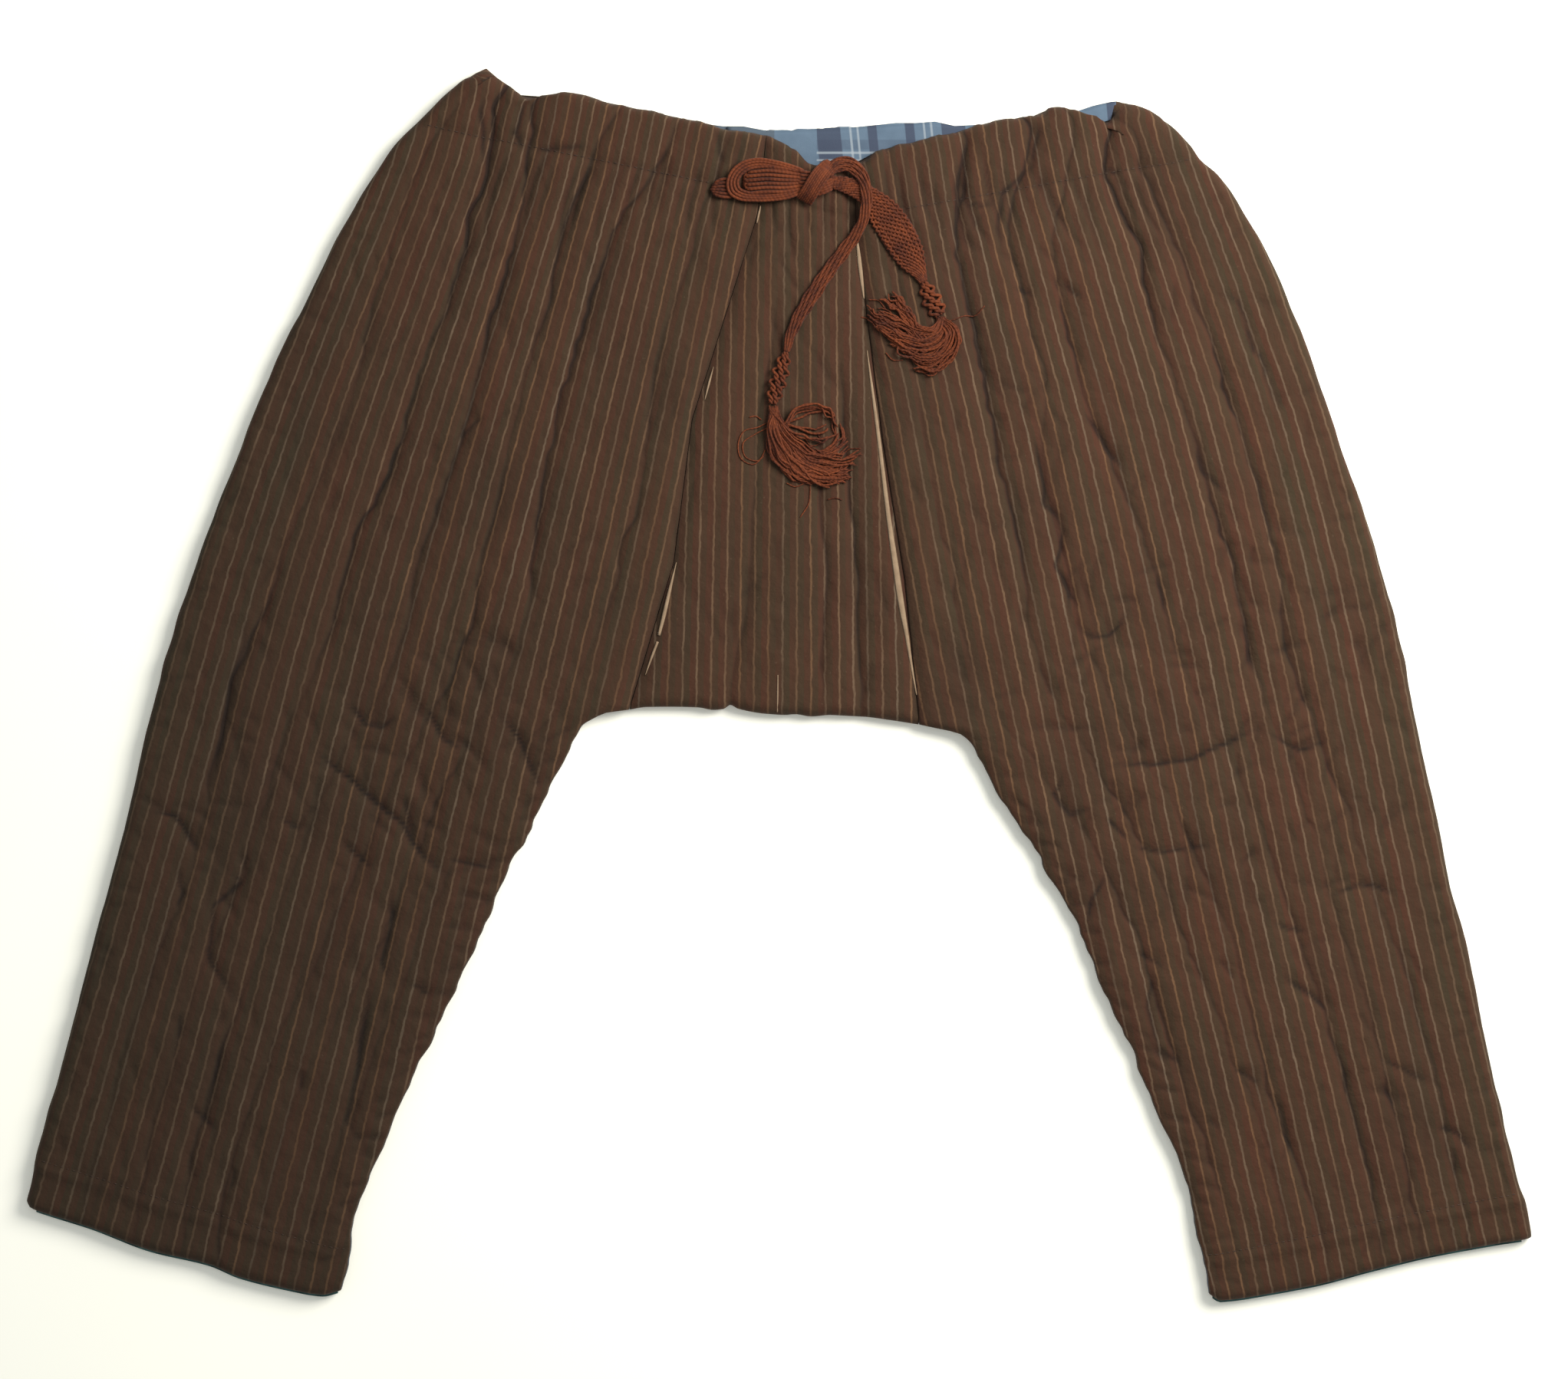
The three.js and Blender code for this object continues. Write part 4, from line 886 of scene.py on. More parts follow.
def build_gusset():
    """The gusset's wall as rings of points: (rings, outer count, UV, painted crease shade)."""
    left_edge, right_edge = LEGS["leg_left"]["inner_edge"], LEGS["leg_right"]["inner_edge"]
    waist, crotch = smooth_curve(GUSSET_WAIST), smooth_curve(CROTCH_EDGE)
    stops = [0.006, *(f["at"] for f in GUSSET_FOLDS), 0.994]
    columns = [clustered(a, b, GUSSET_COLUMNS)[0] for a, b in zip(stops[:-1], stops[1:])]
    u = np.concatenate([[0, 0.003], *columns, [0.994, 0.997, 1]])[:, None]

    def place(t, layer):
        t = np.asarray(t, float)
        lx, ly = left_edge(t)
        rx, ry = right_edge(t)
        lx, rx = lx + SEAM_GAP / 2, rx - SEAM_GAP / 2
        down = t / CROTCH_AT
        x = lx + (rx - lx) * u
        y = ly + (ry - ly) * u
        y = y + ragged_edge(x) * near_waist(t)
        y = y + waist(u) * clamp01(1 - down / 0.2) ** 2 + crotch(u) * down**6
        if layer == "back":
            y = y + (back_lift(u) - waist(u)) * near_waist(t)
        return x, y, rx - lx

    body = np.linspace(BODY_ROWS[0], CROTCH_AT - 0.0096, GUSSET_ROWS)
    t = np.concatenate([FIRST_ROWS, body])[None, :]
    x, y, w = place(t, "front")
    h = np.full(x.shape, GUSSET_WALL)
    # Painted shade for the bottoms of the seams, the folds and the creases.
    crease_shade = np.zeros(x.shape)
    for across in (u * w, (1 - u) * w):
        h -= GUSSET_SEAM_FALL * seam_dip(across)
        crease_shade += 0.35 * bell(across, 1.6)
    down = t / CROTCH_AT
    for k, fold in enumerate(GUSSET_FOLDS):
        share = clamp01((down - fold["from"]) / 0.12) * clamp01((fold["to"] - down) / 0.12 + 0.4)
        away = (u - fold["at"]) * w + 1.6 * line_noise(t * LEG_LENGTH, 22, 80 + k)
        h -= fold["deep"] * share * (0.5 * valley(away, 3) + 0.5 * valley(away, 10, 2))
        crease_shade += 0.13 * fold["deep"] * share * bell(away, 1.3)
    press_stitches(h, crease_shade, t, CASING_AT)
    press_creases(h, crease_shade, x, y)
    marks = scatter_puckers(301, 60, (-110, 110), (0, 400), 90, (12, 50), (0.4, 1.5))
    press_marks(h, crease_shade, x, y, marks + gathers(303, -10, 62, 425, 0.02, 6))
    h += relief(x, y, 0.6, 0.5, 0.3)
    h = round_off(np.maximum(LEAST_WALL, firm(h, GUSSET_WALL)), t * LEG_LENGTH)
    z = inside_height(t) + h
    room_for_cords(z, x, y)
    # The front, the fold at the crotch, the back and then the inside of the wall.
    parts = [(x, y, z, gusset_stripe(x, y), crease_shade)]

    def add(at, layer, height, inward=0.0):
        px, py, _ = place(np.full((1, 1), max(0, at - inward / LEG_LENGTH)), layer)
        parts.append((px, py, height + 0 * px, gusset_stripe(px, py), 0 * px))

    crown = z[:, -1:]
    for turn in np.radians([72, 54, 36, 18, 0, -18, -36, -54, -72, -90]):
        layer = "front" if turn > -0.01 else "back"
        add(CROTCH_AT, layer, crown / 2 * (1 + math.sin(turn)), SIDE_ROUND * (1 - math.cos(turn)))
    for at in np.linspace(CROTCH_AT - 0.02, 0.004, 40):
        add(at, "back", 0)
    add(0.001, "back", 0.6)
    add(0, "back", 1.6)
    outer = sum(part[0].shape[1] for part in parts)
    add(0, "back", 3.6)
    add(0.001, "back", 4.6)
    for at in np.linspace(0.004, CROTCH_AT - 0.013, 40):
        add(at, "back", BACK_WALL)
    for at in np.linspace(CROTCH_AT - 0.013, 0, 60):
        add(at, "front", float(inside_height(at)))
    return joined(parts, outer, lambda y: (GUSSET_TOP - y) / STRIPE_PITCH)


pieces["gusset"] = ring_mesh("crotch_gusset", *build_gusset())
print("gusset faces", len(pieces["gusset"].data.polygons))

# %% [markdown]
# ## The lie of the cloth
# Threads, tape and stitches have to lie on the cloth, so a ray from above finds its height.

# %% Height of the cloth
RAY_FROM = 0.2  # metres
cloth_trees = []
for piece in pieces.values():
    corners = [v.co for v in piece.data.vertices]
    cloth_trees.append(BVHTree.FromPolygons(corners, [p.vertices for p in piece.data.polygons]))


def ground(x, y):
    """Height of the cloth, in mm, under a place given in mm."""
    best = 0.0
    for tree in cloth_trees:
        hit = tree.ray_cast(Vector((x * MM, y * MM, RAY_FROM)), Vector((0, 0, -1)))[0]
        if hit is not None:
            best = max(best, hit.z / MM)
    return best


# %% [markdown]
# ## Linings
# The waist's lining shows only where the back waist stands above the front, and the hems' only as
# a thin line under them. Each is a thin strip with soft waves.

# %% Linings
def strip_mesh(name, low_line, high_line, z_low, z_high, thick, rows, wave, seed):
    """A thin wall between two lines of (x, y), rippled a little."""
    share = np.linspace(0, 1, rows)[None, :, None]
    xy = low_line[:, None] * (1 - share) + high_line[:, None] * share
    z = z_low + (z_high - z_low) * share[..., 0] + wave * value_noise(xy[..., 0], xy[..., 1], 11, seed)
    top = np.concatenate([xy, z[..., None]], -1)
    under = top[:, ::-1].copy()
    under[..., 2] -= thick
    return ring_mesh(name, np.concatenate([top, under], axis=1), rows)


def edge_points(node, layer, shares, t):
    """Places across a layer of a leg, as (x, y) in mm, at a share t of the way down it."""
    spec = LEGS[node]
    ix, iy = spec["inner_edge"](np.array(t, float))
    ox, oy = spec["outer_edge"](t)
    y = waved(spec, layer, shares, t, iy + (oy - iy) * shares)
    return np.stack([ix + (ox - ix) * shares, y], 1)


def waist_line(layer):
    """The waist's edge across the left leg's first folds, the gusset and the right leg."""
    u = np.linspace(0.02, 0.98, 28)
    lift = smooth_curve(GUSSET_WAIST)(u) if layer == "front" else back_lift(u)
    x = LEFT_SEAM[0] + (RIGHT_SEAM[0] - LEFT_SEAM[0]) * u
    y = LEFT_INNER_ENDS[0] + (RIGHT_INNER_ENDS[0] - LEFT_INNER_ENDS[0]) * u + lift
    return np.concatenate([
        edge_points("leg_left", layer, np.linspace(0.14, 0.01, 8), 0.0),
        np.stack([x, y], 1),
        edge_points("leg_right", layer, np.linspace(0.01, 0.967, 92), 0.0),
    ])


BACK_EDGE_SHOWS = 1.2
WAIST_TUCK, HEM_TUCK = 22, 14  # how far a lining goes on under the front layer, in mm
OVER_STRIP = OVER_BACK + LINING_WALL
pieces["lining_waist"] = strip_mesh(
    "waist_lining", waist_line("front") - (0, WAIST_TUCK), waist_line("back") - (0, BACK_EDGE_SHOWS),
    OVER_STRIP - 0.2, OVER_STRIP + 0.4, LINING_WALL - 0.4, rows=12, wave=0.2, seed=31)
for node in LEGS:
    edge = edge_points(node, "front", np.linspace(0.01, 0.97, 80), 1.0)
    pieces[node.replace("leg", "lining_hem")] = strip_mesh(
        node.replace("leg", "hem_lining"), edge - (0, LINING_SHOWS), edge + (0, HEM_TUCK),
        OVER_STRIP, OVER_STRIP, LINING_WALL - 0.2, rows=6, wave=0.15, seed=32)

# %% [markdown]
# ## Pale selvages in the gusset seams
# Slivers of the cloth's undyed selvage look out of the two gusset seams. Each is a narrow raised
# sliver that lies in the seam's valley and thins to nothing at its ends.

# %% Selvage slivers
# x, y and width, in mm, from the top of each sliver down.
SELVAGES = {
    "selvage_left": [
        [(-53, 257, 0.5), (-56.5, 244, 1.8), (-60, 230, 0.5)],
        [(-83, 99, 0.6), (-88, 78, 2.6), (-93, 56, 3.2), (-97, 40, 2.4)],
        [(-98, 35, 2.2), (-103, 22, 2.0), (-108, 8, 0.6)],
        [(-15, 387, 1.2), (-16.5, 380, 1.8), (-18, 373, 1.0)],
    ],
    "selvage_right": [
        [(62.6, 362, 1.6), (64.5, 345, 3.4), (66.5, 328, 3.2), (68.5, 312, 1.2)],
        [(71, 270, 0.8), (75, 240, 2.4), (79, 210, 3.2), (84, 170, 3.6), (89, 130, 4.2), (94, 95, 5.2),
         (98, 68, 5.4), (103, 40, 3.6), (107, 15, 2.2), (111, -8, 1.0)],
        [(-1, 8, 0.9), (-1.2, -8, 1.4), (-1.4, -22, 0.9)],
    ],
}
# A sliver across: shares of its width and, in mm, the height over the cloth.
SLIVER_FORM = [(-0.5, 0.1), (-0.25, 0.6), (0, 0.8), (0.25, 0.6), (0.5, 0.1), (0, -0.8)]


def sideways(line):
    """The level direction across a line at each of its points."""
    ahead = np.gradient(line[:, :2], axis=0)
    ahead /= np.linalg.norm(ahead, axis=1, keepdims=True)
    return np.stack([-ahead[:, 1], ahead[:, 0]], 1)


def moving_average(values, size):
    """Averages over an odd number of neighbours."""
    return np.convolve(np.pad(values, size // 2, mode="edge"), np.ones(size) / size, mode="valid")


def sliver_mesh(name, slivers):
    points, faces = [], []
    sides = len(SLIVER_FORM)
    for sliver in slivers:
        line = resample([(x, y, 0, w) for x, y, w in sliver], 2.2)
        side = sideways(line)
        base = len(points)
        heights = np.array([
            max(ground(x + s * w / 2 * n[0], y + s * w / 2 * n[1]) for s in (-1, 0, 1))
            for (x, y, _, w), n in zip(line, side)
        ])
        for (x, y, _, w), n, z in zip(line, side, moving_average(heights, 5)):
            for share, rise in SLIVER_FORM:
                points.append((x + share * w * n[0], y + share * w * n[1], z + rise))
        for r in range(len(line) - 1):
            for i in range(sides):
                a, b = base + r * sides + i, base + r * sides + (i + 1) % sides
                faces.append((a, a + sides, b + sides, b))
        end = base + (len(line) - 1) * sides
        faces += [tuple(range(base, base + sides)), tuple(range(end + sides - 1, end - 1, -1))]
    mesh = smooth_mesh(name, points, faces)
    mesh.update()
    return add_object(name, mesh)


selvages = [sliver_mesh(name, slivers) for name, slivers in SELVAGES.items()]

# %% [markdown]
# ## Drawstring
# The drawstring is a flat braid of wool yarn. Strands lie side by side along the route, and each
# swings a little across its neighbours, over one and under the next, which gives the look of the
# braid. A thin ribbon fills the middle, so that nothing shows between the strands. In the netted
# ends the same strands swing further and are fewer, so holes open between them.

# %% Braid
YARN = 1.35  # radius of a strand of the bow and the knot, in mm


def braid(route, count, swing, pitch, radius, lift=0.5, step=1.3, core=True):
    """Strands of a flat braid along a route, as (line, radius) pairs."""
    line = resample(route, step)
    at, side = distances(line[:, :3]), sideways(line)
    strands = []
    for k in range(count):
        wave = 2 * np.pi * at / pitch + np.pi * k
        share = (k + 0.5) / count - 0.5 + swing / count * np.sin(wave)
        off = share * (line[:, 3] - 2 * radius) * (1 + 0.05 * np.sin(at / 7 + 2.1 * k))
        crown = 0.9 * (1 - (2 * share) ** 2)
        z = line[:, 2] + lift * radius * np.cos(wave) + crown
        xy = line[:, :2] + side * off[:, None]
        strands.append((np.concatenate([xy, z[:, None]], 1), radius))
    if core:
        strands.append((line[:, :3], line[:, 3] / 2 - 0.8 * radius, 0.5))
    return strands


def with_ends(strands, taper=2):
    """Rounds each strand's two ends."""
    rounded = []
    for line, radius, *high in strands:
        size = np.broadcast_to(np.asarray(radius, float), (len(line),)).copy()
        for k in range(taper):
            share = math.sqrt(1 - (1 - (k + 0.3) / taper) ** 2)
            size[k] *= share
            size[-1 - k] *= share
        rounded.append((line, size, *high))
    return rounded


NET = {"count": 4, "swing": 1.0, "lift": 0.7, "step": 0.8, "core": False}
narrow = braid(TAIL_NARROW, 7, 0.3, 17, 0.95, lift=0.35)
narrow += braid(NET_NARROW, pitch=9.5, radius=1.2, **NET)
wide = braid(TAIL_WIDE, 13, 0.55, 4.6, 1.15, lift=0.4)
wide += braid(NET_WIDE, pitch=9.0, radius=1.35, **NET)
tail_narrow = strands_mesh("drawstring_tail_narrow", with_ends(narrow), seed=11)
tail_wide = strands_mesh("drawstring_tail_wide", with_ends(wide), seed=12)


# %% [markdown]
# ### Half bow
# The loop is the same braid, spread flat: its outer strands run out from the knot, curl round the
# loop's open end and come back, and the rest lie straight between. A short doubled end pokes out
# beyond it. The knot is one turn of the braid, slanting over the crossing.

# %% Bow and knot
LOOP_RIM = [
    (20, 397.5, 22.4), (8, 392.6, 23.2), (-6, 390.6, 23), (-20, 390.2, 23), (-32, 391.4, 23.2),
    (-39.5, 396, 23.6), (-41.5, 403.5, 24), (-38.5, 412.5, 24), (-30.5, 420, 23.8),
    (-18, 423.3, 23.6), (-4, 421.6, 23.6), (8, 418.6, 23.4), (20, 414.5, 22.4),
]
LOOP_Y = 406.5
LOOP_MIDDLE = np.array([-6, LOOP_Y, 22.6])
END_Y = 400.3
ENTRY_Y = 406  # where the loop goes into the knot

# The loop: strands round its rim, straight ones between them and a ribbon that fills the middle.
strands = []
for k in range(4):
    inward = np.array([0.075, 0.12, 0]) * k
    raised = np.array([0, 0, 0.35 * (k % 2) - 0.3 * k])
    rim = np.array(LOOP_RIM) * (1 - inward) + LOOP_MIDDLE * inward + raised
    strands.append((curve_through(rim, 70), YARN * 0.95))
for k in range(7):
    y = 396.4 + 3.4 * k
    start = -25.5 - 2.5 * math.sin(math.pi * k / 6) + 0.6 * (k % 3)
    path = [
        (start, y - 0.5, 20.4), (start + 6, y, 22.2), (-10, y + 0.7, 23.2 + 0.3 * (k % 2)),
        (4, LOOP_Y + (y - LOOP_Y) * 0.92, 23.2), (20, LOOP_Y + (y - LOOP_Y) * 0.62, 22),
    ]
    strands.append((curve_through(path, 40), YARN * 1.15))
strands.append((curve_through([(-29, LOOP_Y, 19.9), (-8, LOOP_Y, 20.6), (20, LOOP_Y, 21)], 20), 11, 1.0))
bow_loop = strands_mesh("bow_loop", with_ends(strands), seed=21)

# The doubled end beyond the loop, with its ribbon.
strands = []
for k in range(6):
    y = 393.6 + 2.7 * k
    path = [
        (-37.5, END_Y + (y - END_Y) * 1.05, 20.8), (-47, y, 21.5),
        (-55.5 + 1.1 * abs(k - 2), END_Y + (y - END_Y) * 0.62, 20.2),
    ]
    strands.append((curve_through(path, 14), YARN))
strands.append((curve_through([(-37.5, END_Y, 19.8), (-54, END_Y, 19.6)], 6), 6, 0.9))
bow_loop_end = strands_mesh("bow_loop_end", with_ends(strands), seed=22)

# The knot's slanting turn, then the doubled braid behind it that draws in from the loop.
strands = []
for k in range(8):
    off = (k - 3.5) * 1.75
    dx, dy = off * 0.83, -off * 0.5
    path = [
        (19.5 + dx, 389.5 + dy, 20.4), (23 + dx, 394 + dy, 25.4), (28 + dx, 402 + dy, 28.2),
        (33.5 + dx, 410.5 + dy, 27.6), (38.5 + dx * 0.9, 416.5 + dy * 0.9, 25),
        (43.5 + dx * 0.8, 420.5 + dy * 0.8, 22.8),
    ]
    strands.append((curve_through(path, 30), YARN * 0.9))
core = [(20, 390.5, 20.8), (28, 402, 26.6), (36, 414, 25.6), (42, 420, 22.6)]
strands.append((curve_through(core, 24), 6.4, 2.0))
for k in range(6):
    y = 397.5 + 3.4 * k
    off = y - ENTRY_Y
    path = [(13, y, 21.2), (19, ENTRY_Y + off * 0.85, 23.8), (26, ENTRY_Y + off * 0.75, 22.6)]
    strands.append((curve_through(path, 14), YARN))
for k in range(5):
    off = (k - 2) * 2.1
    path = [(28, 398 + off, 22.6), (36.5, 400.5 + off, 24.6), (43, 403.8 + off, 22.4)]
    strands.append((curve_through(path, 14), YARN))
bow_knot = strands_mesh("bow_knot", with_ends(strands), seed=23)

# %% [markdown]
# ## Tassels
# The yarns that come out of each net lie loose on the cloth. Listed guide curves give the
# sweep of the bundle, and each yarn keeps its own small wander and its own height on the cloth.

# %% Tassels
TASSEL_NARROW = {
    "root": (-4.6, 222),
    "guides": [
        [(-8, 207), (-8, 195), (-3, 183), (8.5, 171), (23, 163)],
        [(-3.4, 204), (3, 187), (15, 173), (34, 165), (58, 163)],
        [(-1, 206), (8, 190), (20, 178), (39, 171), (62, 171)],
        [(1, 206), (11, 195), (25, 183), (44, 180), (66, 187)],
        [(5, 209), (18, 195), (39, 187), (49, 199), (45, 216)],
        [(5, 211), (13, 221), (25, 225), (39, 222), (44, 192)],
    ],
    "share": [0.2, 0.44, 0.68, 0.88, 0.965, 1],
    "strays": [
        [(-9, 212), (-17, 208), (-28, 205), (-33, 194), (-30, 182), (-21, 178), (-12, 185)],
        [(-8, 208), (-20, 202), (-29, 195), (-27, 184), (-17, 181), (-10, 192)],
        [(25, 164), (25, 155), (24, 147), (17, 135)], [(6, 163), (13, 160), (21, 163)],
        [(-24, 216), (-19, 217), (-14, 214)], [(39, 149.6), (45, 151), (51, 149.4)],
        [(48, 180), (56, 190), (66, 191)], [(20, 200), (26, 193), (34, 196), (30, 204)],
    ],
}
TASSEL_WIDE = {
    "root": (131, 293.5),
    "guides": [
        [(141, 289), (145, 278), (137, 263), (125, 254), (108, 258)],
        [(138, 283), (130, 268), (115, 262), (101, 267), (93, 279)],
        [(130, 282), (118, 274), (104, 276), (90, 283), (73, 293)],
        [(123, 285), (111, 285), (97, 293), (83, 299), (68, 305)],
        [(122, 286), (110, 291), (102, 303), (94, 312), (82, 316)],
        [(126, 285), (119, 278), (110, 283), (103, 296), (95, 311)],
    ],
    "share": [0.16, 0.38, 0.58, 0.7, 0.82, 1],
    "strays": [
        [(135, 293), (142, 295), (150, 298), (158, 298), (166, 306)],
        [(128, 258), (136, 262), (141, 270), (139, 282)], [(84, 300), (74, 296), (66, 297)],
        [(96, 306), (88, 302), (80, 310), (72, 311)], [(100, 262), (92, 262), (86, 268)],
    ],
}


def resting(line, lift):
    """Heights, in mm, for a yarn that lies on the cloth, smoothed as a yarn bridges hollows."""
    number = np.arange(len(line))
    z = np.interp(number, number[::4], [ground(*p) for p in line[::4]])
    return np.concatenate([line, (moving_average(z, 7) + lift)[:, None]], 1)


def tassel_strands(spec, seed, count=140):
    """Yarns that each follow a mix of two neighbouring guides, then the listed strays."""
    rng = np.random.default_rng(seed)
    guides = np.array(spec["guides"], float)
    strands = []
    for k in range(count):
        i = int(np.searchsorted(spec["share"], rng.uniform(0, 1)))
        s = rng.uniform(-0.5, 0.5)
        other = min(len(guides) - 1, max(0, i + (1 if s > 0 else -1)))
        guide = guides[i] * (1 - abs(s)) + guides[other] * abs(s)
        root = np.array(spec["root"]) + rng.uniform(-3.6, 3.6, 2)
        guide = guide + rng.uniform(-2.6, 2.6, guide.shape) * np.linspace(0.4, 1.3, len(guide))[:, None]
        cut = rng.uniform(0.78, 1.0)
        line = curve_through(np.concatenate([[root], guide]), 40)[: int(40 * cut)]
        travel = np.linspace(0, 1, len(line))
        wander = value_noise(travel * 40, np.full(len(line), 9.7 * k), 6, seed) * travel * 3.6
        curl = value_noise(travel * 40, np.full(len(line), 5.3 * k), 4, seed + 1) * travel * 3
        line = line + np.stack([wander, curl], 1)
        layer = rng.uniform(0.6, 7.5) * (1 - 0.6 * travel) * (0.45 + 0.55 * smooth_step(travel * 4))
        radius = rng.uniform(0.55, 1.1)
        strands.append((resting(line, radius + layer), radius))
    for path in spec["strays"]:
        line = curve_through(path, 36)
        strands.append((resting(line, 0.7), 0.55))
    return with_ends(strands)


tassel_narrow = strands_mesh("tassel_narrow", tassel_strands(TASSEL_NARROW, 401), sides=5, seed=31)
tassel_wide = strands_mesh("tassel_wide", tassel_strands(TASSEL_WIDE, 402), sides=5, seed=32)

# %% [markdown]
# ## Stitches
# A row of running stitches holds the drawstring casing and each hem. A stitch repeats along a path,
# so Geometry Nodes place it: the path is resampled, a small bead of thread goes on each point, and
# it turns with the path.

# %% Stitch tree
def stitch_tree():
    """Beads of thread along a path, all sizes in metres."""
    tree = bpy.data.node_groups.new("stitches_along_path", "GeometryNodeTree")
    face = tree.interface
    face.new_socket("Path", in_out="INPUT", socket_type="NodeSocketGeometry")
    for label, value in [("Pitch", 0.0042), ("Length", 0.0028), ("Thickness", 0.0006)]:
        face.new_socket(label, in_out="INPUT", socket_type="NodeSocketFloat").default_value = value
    face.new_socket("Seed", in_out="INPUT", socket_type="NodeSocketInt").default_value = 5
    face.new_socket("Thread", in_out="INPUT", socket_type="NodeSocketMaterial")
    face.new_socket("Stitches", in_out="OUTPUT", socket_type="NodeSocketGeometry")
    nodes = tree.nodes
    start, end = nodes.new("NodeGroupInput"), nodes.new("NodeGroupOutput")
    spread = nodes.new("GeometryNodeResampleCurve")
    spread.mode = "LENGTH"
    bead = nodes.new("GeometryNodeMeshUVSphere")
    for label, value in [("Segments", 8), ("Rings", 6), ("Radius", 0.5)]:
        bead.inputs[label].default_value = value
    tangent = nodes.new("GeometryNodeInputTangent")
    turn = nodes.new("FunctionNodeAlignRotationToVector")
    turn.axis = "X"
    place = nodes.new("GeometryNodeInstanceOnPoints")
    size = nodes.new("ShaderNodeCombineXYZ")
    vary = nodes.new("FunctionNodeRandomValue")
    vary.data_type = "FLOAT"
    vary.inputs["Min"].default_value = 0.8
    vary.inputs["Max"].default_value = 1.15
    scale = nodes.new("ShaderNodeVectorMath")
    scale.operation = "SCALE"
    real, paint = nodes.new("GeometryNodeRealizeInstances"), nodes.new("GeometryNodeSetMaterial")
    for source, output, target, into in [
        (start, "Path", spread, "Curve"), (start, "Pitch", spread, "Length"),
        (spread, "Curve", place, "Points"), (bead, "Mesh", place, "Instance"),
        (tangent, "Tangent", turn, "Vector"), (turn, "Rotation", place, "Rotation"),
        (start, "Length", size, "X"), (start, "Thickness", size, "Y"), (start, "Thickness", size, "Z"),
        (start, "Seed", vary, "Seed"), (size, "Vector", scale, "Vector"), (vary, 1, scale, "Scale"),
        (scale, "Vector", place, "Scale"), (place, "Instances", real, "Geometry"),
        (real, "Geometry", paint, "Geometry"), (start, "Thread", paint, "Material"),
        (paint, "Geometry", end, "Stitches"),
    ]:
        tree.links.new(source.outputs[output], target.inputs[into])
    return tree


def stitch_rows(name, paths, thread, tree, **sizes):
    """Stitches along several paths in mm, as one plain mesh."""
    curve = bpy.data.curves.new(name + "_path", "CURVE")
    curve.dimensions = "3D"
    for path in paths:
        spline = curve.splines.new("POLY")
        spline.points.add(len(path) - 1)
        flat = np.concatenate([np.array(path) * MM, np.ones((len(path), 1))], 1)
        spline.points.foreach_set("co", flat.ravel())
    source = add_object(name + "_path", curve)
    modifier = source.modifiers.new("stitches", "NODES")
    modifier.node_group = tree
    inputs = {s.name: s.identifier for s in tree.interface.items_tree if s.in_out == "INPUT"}
    for label, value in sizes.items():
        modifier[inputs[label]] = value
    modifier[inputs["Thread"]] = thread
    bpy.context.view_layer.update()
    made = source.evaluated_get(bpy.context.evaluated_depsgraph_get())
    mesh = bpy.data.meshes.new_from_object(made)
    mesh.name = name
    source.modifiers.remove(modifier)
    bpy.data.objects.remove(source)
    mesh.polygons.foreach_set("use_smooth", np.ones(len(mesh.polygons), bool))
    return add_object(name, mesh)


# %% [markdown]
# ## Materials
# A small class lets shader maths be written as Python expressions: each value wraps a socket and
# adds its Math nodes when it is combined with another.

# %% Shader expressions
def linear(red, green, blue):
    """A colour given as 0 to 255 screen values, in the linear values that a shader takes."""
    def one(v):
        v /= 255
        return v / 12.92 if v <= 0.04045 else ((v + 0.055) / 1.055) ** 2.4
    return (one(red), one(green), one(blue), 1.0)


class Field:
    """A number that varies over a surface."""

    def __init__(self, finish, socket):
        self.finish, self.socket = finish, socket

    def math(self, operation, *others, clamp=False):
        node = self.finish.tree.nodes.new("ShaderNodeMath")
        node.operation = operation
        node.use_clamp = clamp
        for k, value in enumerate((self, *others)):
            self.finish.feed(node.inputs[k], value)
        return Field(self.finish, node.outputs[0])

    def __add__(self, other):
        return self.math("ADD", other)

    def __sub__(self, other):
        return self.math("SUBTRACT", other)

    def __mul__(self, other):
        return self.math("MULTIPLY", other)

    def __rsub__(self, other):
        return self.math("MULTIPLY", -1.0).math("ADD", other)

    __radd__ = __add__

    def clamped(self):
        return self.math("ADD", 0.0, clamp=True)

    def step(self, low, high):
        """0 below low, 1 above high and smooth between."""
        settings = {"interpolation_type": "SMOOTHSTEP"}
        inputs = {"Value": self, "From Min": low, "From Max": high}
        return self.finish.node("ShaderNodeMapRange", settings, inputs, "Result")


